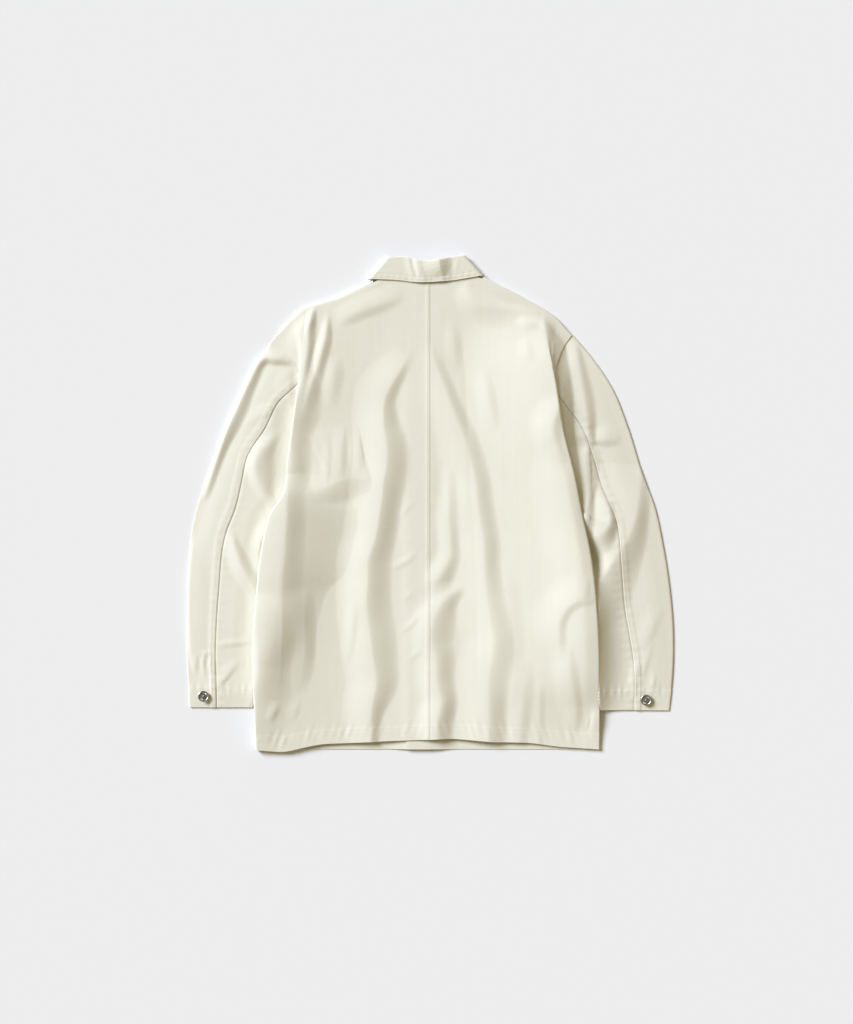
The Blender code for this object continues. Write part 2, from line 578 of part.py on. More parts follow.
def finish(name, mesh_data, material):
    mesh = bpy.data.meshes.new(name)
    mesh_data.to_mesh(mesh)
    mesh_data.free()
    mesh.shade_smooth()
    mesh.set_sharp_from_angle(angle=np.radians(50))
    mesh.materials.append(material)
    piece = bpy.data.objects.new(name, mesh)
    bpy.context.scene.collection.objects.link(piece)
    return piece


def make_material(name, colour, roughness, metallic):
    material = bpy.data.materials.new(name)
    material.use_nodes = True
    shader = material.node_tree.nodes["Principled BSDF"]
    shader.inputs["Base Color"].default_value = (*colour, 1.0)
    shader.inputs["Roughness"].default_value = roughness
    shader.inputs["Metallic"].default_value = metallic
    return material


def main():
    for old in list(bpy.data.objects):
        bpy.data.objects.remove(old)
    cloth = make_material("cotton_twill", ECRU, 0.85, 0.0)
    for side, word in ((LEFT, "left"), (RIGHT, "right")):
        cloth_piece("back_" + word, lambda a, b, s=side: back_place(s, a, b),
                    spaced((0, NECK_SHARE, 7), (NECK_SHARE, 1, 9), (1, 2, 4), (2, 3, 2)),
                    spaced((0, 1, 25), (1, 2, 3), (2, 3, 1)), cloth,
                    keep=lambda a, b: b < 1 or a > NECK_SHARE)
        cloth_piece("front_" + word, lambda a, b, s=side: front_place(s, a, b),
                    spaced((0, 1, 6), (1, 1 + EDGE_SHARE, 9), (1 + EDGE_SHARE, 2, 6)),
                    spaced((0, 1, 15)), cloth)
        rows = spaced((0, 1, 17))
        cloth_piece(word + "_top_sleeve", lambda a, b, s=side: top_sleeve_place(s, a, b),
                    spaced((0, 0.86, 4), (0.86, 1, 3), (1, 1.1, 3), (1.1, 2, 4)), rows, cloth)
        cloth_piece(word + "_under_sleeve", lambda a, b, s=side: under_sleeve_place(s, a, b),
                    spaced((0, 0.93, 4), (0.93, 1, 3), (1, 1.3, 3), (1.3, 2, 1)), rows, cloth)

    def collar(a, b):
        points = {side.sign: collar_place(side, np.abs(a), b) for side in (LEFT, RIGHT)}
        return np.where((a < 0)[..., None], points[-1], points[1])

    reach = spaced((0, 1, 7), (1, 2, 4), (2, 3, 3))
    cloth_piece("collar", collar, np.concatenate((-reach[:0:-1], reach)),
                spaced((0, 1, 1), (1, 2, 3), (2, 3, 2)), cloth)
    steel = make_material("button_steel", STEEL, 0.35, 1.0)
    for name, (x, y, tilt) in CUFF_BUTTONS.items():
        rise = np.sin(np.radians(tilt)) * BUTTON_WIDTH * 0.4
        button(name, x, y, SLEEVE_TOP + HALF + SEAM + rise, tilt, 1, steel)
    for i in range(FRONT_BUTTONS):
        y = FRONT_BUTTON_TOP - i * FRONT_BUTTON_STEP
        button(f"front_button_{i + 1}", CENTRE_FRONT, y, 0.0, 0.0, -1, steel)


if __name__ == "__main__":
    main()
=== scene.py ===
"""Looks of an ecru cotton chore jacket that lies on its front: cloth, seams, stitches and metal buttons.

The back is up.  +X is the wearer's right, +Y points to the collar and +Z up.  Shapes are worked out in
millimetres and made in metres.  Cloth panels are patches between their cut edges, lifted by folds.
"""

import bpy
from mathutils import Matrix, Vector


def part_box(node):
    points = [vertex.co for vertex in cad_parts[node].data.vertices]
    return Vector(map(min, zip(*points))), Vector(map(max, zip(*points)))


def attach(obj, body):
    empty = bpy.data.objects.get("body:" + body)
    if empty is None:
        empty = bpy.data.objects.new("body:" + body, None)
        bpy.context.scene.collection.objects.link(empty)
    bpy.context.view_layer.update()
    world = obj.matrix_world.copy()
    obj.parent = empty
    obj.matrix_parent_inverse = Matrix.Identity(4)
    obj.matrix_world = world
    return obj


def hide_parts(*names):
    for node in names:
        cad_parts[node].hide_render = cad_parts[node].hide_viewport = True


bl_info = {
    "name": "Chore Jacket",
    "version": (1, 0, 0),
    "blender": (4, 5, 0),
    "location": "3D View > Sidebar > Jacket",
    "description": "Twill panels, seams, stitches and buttons of a chore jacket laid on its front",
    "category": "Add Mesh",
}

from functools import partial

import bmesh
import bpy
import numpy as np
from bpy.props import FloatProperty, FloatVectorProperty, IntProperty, PointerProperty
from mathutils import Matrix, Vector

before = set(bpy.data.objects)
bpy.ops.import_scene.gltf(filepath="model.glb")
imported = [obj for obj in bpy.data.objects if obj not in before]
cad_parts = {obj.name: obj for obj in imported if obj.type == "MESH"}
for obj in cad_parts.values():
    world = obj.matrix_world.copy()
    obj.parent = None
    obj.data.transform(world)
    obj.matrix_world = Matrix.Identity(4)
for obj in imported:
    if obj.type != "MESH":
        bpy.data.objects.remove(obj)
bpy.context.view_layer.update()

MM = 0.001

# ---- driving dimensions, in millimetres -------------------------------------------------------------
LAYER = 1.6              # rise from one lying layer to the next, middle to middle
SEAM = 0.3               # space between two pieces at a seam
SLEEVE_ROLL = 2.2        # radius of the sleeve's two long folds
LOFT = 6.6               # height of the back where it lies over the closed fronts
NECK_HEIGHT = 9.0        # height of the back at the neck seam
COLLAR_TURN = 2.6        # space between the collar's stand and its fall
HEM_Y = -392.0
CENTRE_HEM_Y = -376.0    # where the centre back seam ends, above the corners of the hem
UNDERARM_Y = 46.0
BACK_LENGTH = 738.0      # centre back from the hem to the neck seam
NECK_SHARE = 0.45        # part of a back panel's width that the neck takes
TIP_DROP = 2.6           # how much lower the back lies at the outer end of the shoulder
FOLD_TURN = 2.0          # how far the side folds bow out
SHOULDER_TURN = 8.0      # strip of the back that passes over the shoulder to the seam
ARMHOLE_LAP = 3.0        # tuck of the sleeve under the back's armhole edge
CENTRE_FRONT = -18.0
FRONT_NECK_SHARE = 0.36  # part of a front's width that its neck edge takes
UNDERARM_SHARE = 0.63    # underarm's place between the hem and the shoulder, up the side
FOREARM_GIRTH = -0.86    # forearm seam's place round the sleeve, near its hidden inner fold
SEAM_GIRTH = 0.0012      # half the space at a sleeve seam, as a share of the half girth
PLACKET_RISE = 3.0       # the buttoned strip lies on its buttons
PLACKET_HALF = 12.0      # level part of that strip, either side of the centre front
PLACKET_SLOPE = 38.0
FACING = 34.0            # width of the front edge that is turned under
BUTTON_CAP = 2.4         # height of a button
BACK_HEM = 22.0          # depth of the turned hem
CUFF_HEM = 32.0
VENT = 76.0              # length of the slit at the cuff
FELL = 8.0               # width of the felled seams
FALL_DEPTH = 34.0        # middling depth of the collar's fall
COLLAR_ROWS = (2.5, 8.5)     # its two rows of stitches, above its edge
SLEEVE_HALF = 120.0      # middling width of a lying sleeve
SLEEVE_TAPER = (1.6, 0.75)   # its share of that width at the armhole, and what it loses to the cuff
CENTRE_ROWS = (0.007, 0.0165)    # stitches of the centre back seam, as shares of the panel
FELL_ROWS = ((0.02, 0.02), (0.10, 0.05))     # stitches of a hindarm seam: their place, and how they spread
FLOOR_HALF = 9.0         # metres
CAMERA_PLACE = (-0.0056, -0.0128)    # metres, over the middle of what shows


# ---- sizes and colours a user may change --------------------------------------------------------------
class ClothSettings(bpy.types.PropertyGroup):
    wall: FloatProperty(name="Cloth Wall", description="Thickness of the twill", default=1.2 * MM,
                        min=0.4 * MM, max=3 * MM, unit="LENGTH")
    colour: FloatVectorProperty(name="Cloth Colour", description="Ecru of the undyed cotton", size=3,
                                default=(0.770, 0.748, 0.655), min=0, max=1, subtype="COLOR")
    twill: FloatProperty(name="Twill Pitch", description="Distance between two twill lines",
                         default=0.95 * MM, min=0.3 * MM, max=4 * MM, unit="LENGTH")
    relief: FloatProperty(name="Weave Relief", description="Height of the twill lines", default=0.10 * MM,
                          min=0, max=1 * MM, unit="LENGTH")


class FoldSettings(bpy.types.PropertyGroup):
    depth: FloatProperty(name="Fold Depth", description="Share of the full height of every fold",
                         default=1.0, min=0, max=1.5, subtype="FACTOR")
    pucker: FloatProperty(name="Hem Pucker", description="Height of the puckers at hems and seams",
                          default=0.65 * MM, min=0, max=2 * MM, unit="LENGTH")


class StitchSettings(bpy.types.PropertyGroup):
    length: FloatProperty(name="Stitch Length", description="Length of one stitch", default=2.7 * MM,
                          min=1 * MM, max=6 * MM, unit="LENGTH")
    gap: FloatProperty(name="Stitch Gap", description="Space between two stitches", default=0.5 * MM,
                       min=0.1 * MM, max=3 * MM, unit="LENGTH")
    thread: FloatProperty(name="Thread Width", description="Width of the sewing thread", default=0.6 * MM,
                          min=0.2 * MM, max=1.5 * MM, unit="LENGTH")
    colour: FloatVectorProperty(name="Thread Colour", description="Colour of the sewing thread", size=3,
                                default=(0.75, 0.72, 0.61), min=0, max=1, subtype="COLOR")


class ButtonSettings(bpy.types.PropertyGroup):
    width: FloatProperty(name="Button Width", description="Diameter of the metal buttons",
                         default=17.5 * MM, min=8 * MM, max=30 * MM, unit="LENGTH")
    ribs: IntProperty(name="Ribs", description="Ribs of the milled ring", default=28, min=8, max=60)
    colour: FloatVectorProperty(name="Steel Colour", description="Brushed steel of the buttons", size=3,
                                default=(0.48, 0.47, 0.44), min=0, max=1, subtype="COLOR")


class StudioSettings(bpy.types.PropertyGroup):
    camera_height: FloatProperty(name="Camera Height", description="Camera above the floor", default=3.9,
                                 min=1, max=10, unit="LENGTH")
    view_length: FloatProperty(name="View Length", description="Long side of the floor that shows",
                               default=1.6384, min=0.5, max=5, unit="LENGTH")
    elevation: FloatProperty(name="Light Elevation", description="Key light above the horizon",
                             default=np.radians(35), min=0.1, max=1.5, unit="ROTATION")
    heading: FloatProperty(name="Light Heading", description="Where the key light stands, from +X",
                           default=np.radians(145), min=-3.2, max=3.2, unit="ROTATION")
    spread: FloatProperty(name="Light Spread", description="Angular width of the soft key light",
                          default=np.radians(26), min=0, max=1.5, unit="ROTATION")
    key: FloatProperty(name="Key Strength", description="Strength of the key light", default=4.6, min=0,
                       max=20)
    key_colour: FloatVectorProperty(name="Key Colour", description="Daylight of the key light", size=3,
                                    default=(0.825, 0.885, 1.0), min=0, max=1, subtype="COLOR")
    fill: FloatProperty(name="Fill Strength", description="Strength of the light from all round",
                        default=0.32, min=0, max=5)
    fill_colour: FloatVectorProperty(name="Fill Colour", description="Warm light from the room", size=3,
                                     default=(1.0, 0.84, 0.45), min=0, max=1, subtype="COLOR")
    backdrop: FloatVectorProperty(name="Backdrop Colour", description="Pale wall round the floor", size=3,
                                  default=(0.58, 0.555, 0.48), min=0, max=1, subtype="COLOR")
    floor: FloatVectorProperty(name="Floor Colour", description="Pale studio floor", size=3,
                               default=(0.83, 0.83, 0.86), min=0, max=1, subtype="COLOR")


SETTINGS = {"jacket_cloth": ClothSettings, "jacket_folds": FoldSettings, "jacket_stitches": StitchSettings,
            "jacket_buttons": ButtonSettings, "jacket_studio": StudioSettings}


# ---- reading tables ---------------------------------------------------------------------------------
def ease(t):
    """0 to 1 with level ends."""
    t = np.clip(t, 0.0, 1.0)
    return t * t * (3.0 - 2.0 * t)


def slope(at, start, width):
    """0 at a start and 1 a width beyond it, or before it where the width is below 0."""
    return ease((at - start) / width)


def smooth_read(knots, values, at):
    """A smooth line through values at rising knots."""
    at = np.clip(at, knots[0], knots[-1])
    slopes = np.gradient(values, knots)
    i = np.clip(np.searchsorted(knots, at, side="right") - 1, 0, len(knots) - 2)
    step = knots[i + 1] - knots[i]
    t = (at - knots[i]) / step
    return ((1 + 2 * t) * (1 - t) ** 2 * values[i] + t * (1 - t) ** 2 * step * slopes[i]
            + t * t * (3 - 2 * t) * values[i + 1] - t * t * (1 - t) * step * slopes[i + 1])


class Table:
    """Named columns over a first column of rising stations."""

    def __init__(self, columns, *rows):
        self.names = columns
        self.data = np.array(sorted(rows), float)

    def at(self, column, station):
        return smooth_read(self.data[:, 0], self.data[:, self.names.index(column)], station)


class Path:
    """A smooth plan line through (x, y) points, read by the share of its length."""

    def __init__(self, *points):
        self.points = np.array(points, float)
        steps = np.hypot(*np.diff(self.points, axis=0).T)
        self.length = steps.sum()
        self.shares = np.concatenate(([0.0], np.cumsum(steps))) / self.length

    def at(self, share):
        return pair(*(smooth_read(self.shares, coordinate, share) for coordinate in self.points.T))


def pair(x, y):
    """Plan points from their two coordinates."""
    return np.stack([x, y], axis=-1)


def lifted(plan, height):
    """Points from plan points and their heights."""
    return np.concatenate([plan, height[..., None]], axis=-1)


def patch(bottom, top, left, right, across, up):
    """The plan point of a panel between its four edges."""
    f, w = across[..., None], up[..., None]
    corner = [edge(np.array(end)) for edge, end in ((bottom, 0.0), (bottom, 1.0), (top, 0.0), (top, 1.0))]
    ruled = (1 - w) * bottom(across) + w * top(across) + (1 - f) * left(up) + f * right(up)
    return ruled - ((1 - w) * ((1 - f) * corner[0] + f * corner[1])
                    + w * ((1 - f) * corner[2] + f * corner[3]))


def spaced(*runs):
    """Stations in runs: (start, end, number of steps)."""
    first = [runs[0][0]]
    return np.concatenate([first] + [np.linspace(start, end, steps + 1)[1:] for start, end, steps in runs])


# ---- folds ------------------------------------------------------------------------------------------
# Each fold is its crispness and a line of rows, walked with the lit side on its right hand.  lit and shade
# say how far its two slopes reach, and a height below 0 makes a trough.  Crispness 0 rounds a fold, 1 makes
# it a sharp crease and more than 1 makes it steep at its line only.
X, Y, HEIGHT, LIT, SHADE = range(5)      # columns of a fold's rows, in millimetres
BACK_FOLDS = {
    "left_drape": (
        0.45, (-29, 246, 0, 20, 12), (-48, 213, 3.5, 40, 16), (-67, 181, 4.5, 50, 18),
        (-74, 158, 5.5, 50, 20), (-74, 126, 8, 52, 28), (-69, 94, 9.5, 54, 38), (-69, 62, 10, 54, 40),
        (-74, 35, 10, 54, 40), (-77, 6, 9.4, 54, 34), (-82, -26, 9.4, 54, 33), (-88, -58, 9.4, 54, 34),
        (-98, -90, 9.8, 52, 38), (-99, -122, 9.8, 50, 38), (-101, -154, 9.8, 50, 40),
        (-98, -186, 8.8, 50, 40), (-94, -218, 8.8, 50, 42), (-90, -250, 8.2, 50, 40),
        (-85, -282, 7.6, 50, 36), (-91, -314, 7, 48, 28), (-94, -338, 6, 46, 20), (-94, -381, 4, 40, 12)),
    "right_drape": (
        0.3, (0, 266, 0, 20, 10), (6, 230, 2.5, 34, 14), (19, 198, 3.6, 45, 16), (30, 166, 4.6, 50, 18),
        (43, 134, 5.6, 52, 20), (56, 102, 6, 54, 23), (64, 70, 6.2, 55, 25), (72, 38, 6.5, 55, 26),
        (75, 6, 6.8, 55, 27), (80, -26, 6.8, 55, 27), (85, -58, 7, 55, 28), (86, -90, 7, 55, 28),
        (88, -122, 7, 55, 28), (91, -154, 7, 55, 30), (96, -186, 6.8, 55, 32), (101, -218, 6.8, 55, 34),
        (98, -250, 7, 55, 36), (94, -282, 6.5, 55, 35), (94, -314, 6.5, 55, 32), (94, -381, 6, 50, 28)),
    "centre_step_lower": (
        0.2, (53, -134, 0, 12, 10), (35, -144, 3.5, 26, 20), (19, -160, 5.5, 34, 30), (6, -186, 7, 44, 38),
        (2, -218, 6.6, 44, 38), (10, -246, 6.6, 44, 32), (11, -282, 7, 44, 30), (18, -314, 7.6, 44, 28),
        (14, -338, 8.4, 44, 28), (11, -358, 8, 44, 28), (11, -381, 7, 40, 26)),
    "centre_shade": (
        0.2, (29, 61, 0, 14, 12), (30, 6, 2.2, 22, 16), (29, -26, 3, 24, 18), (32, -58, 3.6, 24, 16),
        (32, -83, 3.6, 26, 18), (24, -102, 4.2, 30, 22), (11, -122, 4.4, 30, 26), (3, -139, 1.5, 20, 18),
        (-2, -150, 0, 14, 10)),
    "left_roll": (
        0.2, (-190, 326, 0, 10, 8), (-191, 307, 3, 14, 13), (-194, 278, 3.9, 18, 14),
        (-195, 254, 4.2, 20, 13), (-198, 230, 4.4, 20, 13), (-202, 208, 5.2, 20, 20),
        (-206, 186, 7.2, 22, 38), (-214, 163, 8.4, 22, 44), (-219, 144, 8.6, 20, 46),
        (-222, 118, 7.4, 20, 38), (-221, 91, 7.4, 24, 34), (-221, 64, 7.2, 34, 34), (-224, 45, 6.6, 60, 34),
        (-230, 26, 6, 90, 34), (-231, 6, 5.5, 110, 34), (-230, -26, 5.2, 130, 34),
        (-234, -66, 4.6, 130, 36), (-238, -106, 4, 130, 38), (-242, -138, 4.4, 110, 42),
        (-243, -170, 6, 90, 50), (-246, -202, 5, 70, 50), (-253, -234, 2, 50, 44), (-259, -262, 0, 30, 30)),
    "left_roll_spread": (
        0.7, (-226, 48, 0, 60, 60), (-226, 32, 5, 110, 84), (-226, 16, 10.5, 130, 98),
        (-227, -2, 13, 130, 106), (-227, -22, 14, 140, 112), (-229, -50, 14, 140, 108),
        (-230, -82, 13.5, 140, 102), (-234, -114, 12, 130, 88), (-235, -141, 10, 120, 70),
        (-235, -173, 9, 110, 60), (-235, -205, 8, 90, 54), (-237, -234, 6.5, 70, 54),
        (-238, -262, 4, 50, 50), (-243, -294, 1.5, 40, 44), (-246, -314, 0, 30, 30)),
    "left_plateau": (
        0.7, (-94, 43, 0, 60, 14), (-104, 41, 2.2, 80, 24), (-125, 40, 4.6, 90, 32),
        (-144, 37, 5.6, 90, 34), (-158, 30, 4, 80, 30), (-173, 24, 1.8, 80, 24), (-186, 19, 0, 60, 16)),
    "left_roll_foot": (
        0.5, (-200, -134, 0, 30, 10), (-200, -157, 1.6, 40, 17), (-200, -202, 2.4, 44, 18),
        (-200, -242, 2, 40, 18), (-205, -274, 1, 34, 18), (-213, -298, 0, 24, 14)),
    "left_edge_shade": (
        0.1, (-269, -141, 0, 20, 40), (-274, -173, 4, 30, 56), (-274, -205, 7, 30, 62),
        (-272, -234, 9.5, 30, 58), (-272, -262, 10.5, 30, 52), (-274, -288, 9.5, 30, 54),
        (-275, -314, 7, 30, 60), (-278, -349, 4, 30, 56), (-280, -381, 2, 30, 40)),
    "left_shoulder_ridge": (
        0.15, (-163, 307, 0, 8, 6), (-164, 288, 2.4, 11, 8), (-167, 266, 3.6, 13, 13),
        (-172, 246, 4, 14, 14), (-177, 226, 4, 14, 14), (-183, 206, 3.2, 12, 16), (-189, 186, 1.8, 10, 18),
        (-195, 163, 0.8, 10, 16), (-205, 128, 0, 10, 14)),
    "left_back_hollow": (
        0.0, (-154, 237, 0, 20, 16), (-154, 211, 2, 20, 20), (-157, 182, 1.5, 20, 18),
        (-160, 150, 0, 16, 14)),
    "left_streak_1": (
        0.2, (-138, 126, 0, 14, 8), (-141, 94, 1.1, 20, 10), (-142, 62, 1.1, 20, 10), (-144, 40, 0, 14, 8)),
    "left_streak_2": (
        0.2, (-117, 112, 0, 12, 8), (-115, 86, 1, 18, 12), (-114, 61, 0.8, 16, 10), (-112, 45, 0, 8, 6)),
    "left_streak_3": (
        0.2, (-163, 109, 0, 8, 6), (-163, 78, 0.5, 12, 8), (-165, 46, 0.5, 12, 8), (-165, 29, 0, 8, 6)),
    "left_low_patch_1": (0.0, (-240, -314, 0, 12, 8), (-250, -333, 1.4, 14, 10), (-258, -349, 0, 10, 8)),
    "left_low_patch_2": (0.0, (-208, -307, 0, 14, 8), (-216, -330, 0.7, 16, 10), (-224, -352, 0, 12, 8)),
    "left_low_streak": (
        0.0, (-122, -154, 0, 16, 8), (-123, -186, 0.8, 18, 10), (-128, -226, 0.7, 18, 10),
        (-134, -258, 0, 14, 8)),
    "centre_wrinkle_1": (0.2, (-19, 11, 0, 8, 6), (-34, -5, 1.1, 9, 7), (-50, -24, 0, 8, 6)),
    "centre_wrinkle_2": (
        0.2, (-16, -66, 0, 8, 6), (-30, -85, 1.4, 10, 8), (-46, -96, 1.2, 10, 8), (-61, -102, 0, 8, 6)),
    "centre_wrinkle_3": (0.2, (-21, -133, 0, 8, 6), (-34, -147, 1.1, 9, 7), (-46, -154, 0, 8, 6)),
    "centre_wrinkle_4": (0.2, (-18, -176, 0, 8, 6), (-32, -194, 1.2, 9, 7), (-50, -206, 0, 8, 6)),
    "centre_wrinkle_5": (0.2, (-14, -232, 0, 8, 6), (-27, -243, 1, 9, 7), (-40, -250, 0, 8, 6)),
    "right_spot_1": (
        0.0, (30, 298, 0, 18, 12), (35, 269, 1.6, 22, 16), (38, 243, 1.6, 22, 16), (43, 214, 0, 18, 12)),
    "right_spot_2": (
        0.0, (83, 218, 0, 20, 12), (90, 182, 1.5, 24, 15), (96, 154, 1.6, 24, 15), (104, 115, 0, 20, 12)),
    "right_spot_3": (0.0, (150, 266, 0, 16, 10), (155, 246, 1, 18, 12), (160, 224, 0, 16, 10)),
    "right_edge_dent": (
        0.1, (208, 173, 0, 24, 6), (202, 150, 2.4, 36, 12), (194, 125, 3.8, 40, 18), (198, 98, 3, 36, 16),
        (216, 67, 0, 24, 8)),
    "right_edge_round": (
        0.0, (197, 93, 0, 40, 14), (211, 46, 3, 60, 22), (222, -2, 4.5, 60, 24), (230, -50, 4.5, 60, 24),
        (237, -90, 4, 60, 24), (240, -138, 3.5, 60, 26), (243, -186, 3, 60, 26), (245, -234, 3, 60, 26),
        (246, -282, 2, 60, 26), (248, -322, 0, 50, 20)),
    "right_puff": (
        0.2, (262, -154, 0, 16, 6), (251, -154, 1.2, 28, 10), (237, -152, 2.3, 44, 14),
        (219, -163, 2.8, 46, 14), (206, -186, 2.8, 46, 14), (205, -214, 2, 40, 13), (208, -250, 0, 24, 12)),
    "right_low_streak_1": (
        0.0, (218, -224, 0, 26, 10), (221, -262, 2, 32, 16), (227, -301, 2, 32, 16),
        (232, -333, 1.8, 28, 14), (230, -368, 0, 20, 10)),
    "right_low_streak_2": (
        0.0, (150, -242, 0, 24, 12), (149, -290, 1.8, 30, 20), (146, -333, 2.2, 30, 20),
        (142, -381, 1.6, 24, 16)),
    "right_low_streak_3": (0.0, (173, -282, 0, 16, 10), (174, -317, 1, 22, 12), (173, -381, 0.7, 18, 10)),
    "right_low_streak_4": (
        0.0, (117, -90, 0, 30, 16), (122, -154, 1.6, 40, 26), (125, -218, 1.8, 40, 28),
        (128, -282, 1.6, 34, 24), (125, -333, 0, 26, 16)),
}
SHOULDER_FOLDS = {
    "left_shoulder_edge": (
        0.1, (-74, 354, 0, 12, 8), (-102, 350, 1.6, 16, 10), (-128, 342, 1.8, 16, 10),
        (-150, 334, 1.6, 14, 8), (-166, 330, 0, 8, 8)),
    "left_shoulder_drape": (
        0.1, (-42, 333, 0, 24, 12), (-70, 323, 2.2, 30, 16), (-102, 312, 2.6, 30, 17),
        (-131, 299, 2, 26, 16), (-150, 288, 0, 20, 12)),
    "left_pleat_top": (
        0.3, (-181, 328, 0, 6, 5), (-187, 314, 1.6, 7, 8), (-190, 298, 2.4, 8, 10), (-194, 278, 1, 8, 10),
        (-195, 262, 0, 8, 8)),
    "right_yoke": (
        0.1, (53, 352, 0, 22, 14), (62, 334, 3, 28, 20), (78, 320, 4, 32, 24), (104, 311, 3.6, 32, 20),
        (128, 307, 2.8, 30, 16), (154, 304, 2, 26, 14), (178, 301, 0, 20, 10)),
    "right_yoke_end": (
        0.1, (144, 298, 0, 14, 10), (149, 291, 1.4, 16, 12), (160, 288, 1.6, 16, 12), (173, 291, 0, 14, 8)),
}
LEFT_SLEEVE_FOLDS = {
    "outer_crease": (
        0.25, (-208, 229, 3, 12, 7), (-224, 228, 6.5, 16, 9), (-246, 231, 7.5, 18, 10),
        (-262, 234, 6.4, 18, 12), (-274, 224, 5.5, 14, 12), (-285, 202, 6, 11, 14), (-296, 179, 6.2, 9, 16),
        (-309, 150, 6.8, 9, 19), (-322, 122, 6.6, 8, 18), (-333, 93, 5.4, 8, 13), (-344, 61, 4.2, 7, 11),
        (-354, 30, 3, 7, 10), (-363, 3, 0, 7, 8)),
    "underarm_pucker_1": (0.3, (-222, 258, 0, 4, 3), (-228, 250, 2.2, 4, 3), (-232, 242, 0, 4, 3)),
    "underarm_pucker_2": (0.3, (-216, 246, 0, 4, 3), (-222, 239, 2.2, 4, 3), (-226, 230, 0, 4, 3)),
    "underarm_pucker_3": (0.3, (-210, 235, 0, 4, 3), (-215, 228, 2.2, 4, 3), (-219, 219, 0, 4, 3)),
    "underarm_strip": (
        0.2, (-221, 224, 0, 20, 6), (-224, 205, 2, 24, 10), (-226, 179, 2.5, 24, 12),
        (-222, 154, 0, 16, 8)),
    "sleeve_shade": (
        0.0, (-243, 157, 0, 14, 10), (-262, 149, 1.1, 18, 14), (-282, 136, 0.8, 16, 12),
        (-298, 122, 0, 12, 8)),
    "elbow_hollow": (
        0.1, (-242, 112, 0, 12, 6), (-259, 96, 3, 18, 18), (-274, 77, 5.6, 20, 31), (-278, 58, 6, 20, 34),
        (-272, 35, 5, 18, 28), (-258, 11, 2.4, 14, 12), (-246, -3, 0, 10, 6)),
    "forearm_crease": (
        0.4, (-318, -42, 0, 14, 7), (-312, -67, 4, 20, 11), (-302, -94, 6, 22, 15),
        (-288, -122, 6.8, 20, 16), (-275, -149, 2.5, 16, 12)),
    "forearm_rise": (
        0.0, (-256, -26, 0, 14, 10), (-267, -48, 2.5, 18, 10), (-274, -70, 2.5, 18, 8),
        (-275, -98, 0, 12, 8)),
    "outer_flat": (
        0.0, (-373, -42, 0, 8, 22), (-381, -93, 2.6, 8, 30), (-384, -154, 3.2, 8, 34),
        (-381, -234, 2, 8, 28), (-374, -269, 0, 8, 18)),
    "wrist_line": (
        0.3, (-282, -219, 0, 8, 5), (-304, -222, 1.1, 9, 5), (-326, -224, 1.1, 9, 5),
        (-339, -227, 0, 8, 5)),
    "wrist_tuck": (
        0.1, (-302, -251, 0, 10, 6), (-315, -262, 0.9, 16, 7), (-326, -275, 1.5, 16, 8),
        (-338, -290, 0.7, 12, 6), (-341, -294, 0, 8, 5)),
    "cuff_pucker_1": (
        0.3, (-357, -235, 0, 5, 4), (-362, -248, 1.2, 6, 5), (-362, -262, 1, 6, 5), (-360, -280, 0, 5, 4)),
    "cuff_pucker_2": (0.3, (-350, -242, 0, 4, 3), (-351, -254, 0.7, 4, 3), (-354, -267, 0, 4, 3)),
    "cuff_pucker_3": (0.2, (-373, -240, 0, 7, 5), (-375, -256, 0.9, 9, 6), (-374, -274, 0, 7, 5)),
    "cuff_pucker_4": (0.2, (-347, -275, 0, 4, 3), (-350, -291, 0.6, 5, 4), (-350, -307, 0, 4, 3)),
    "vent_tack": (
        0.3, (-346, -237, 0, 4, 3), (-357, -238, 0.8, 4, 3), (-368, -240, 0.5, 4, 3),
        (-374, -242, 0, 4, 3)),
}
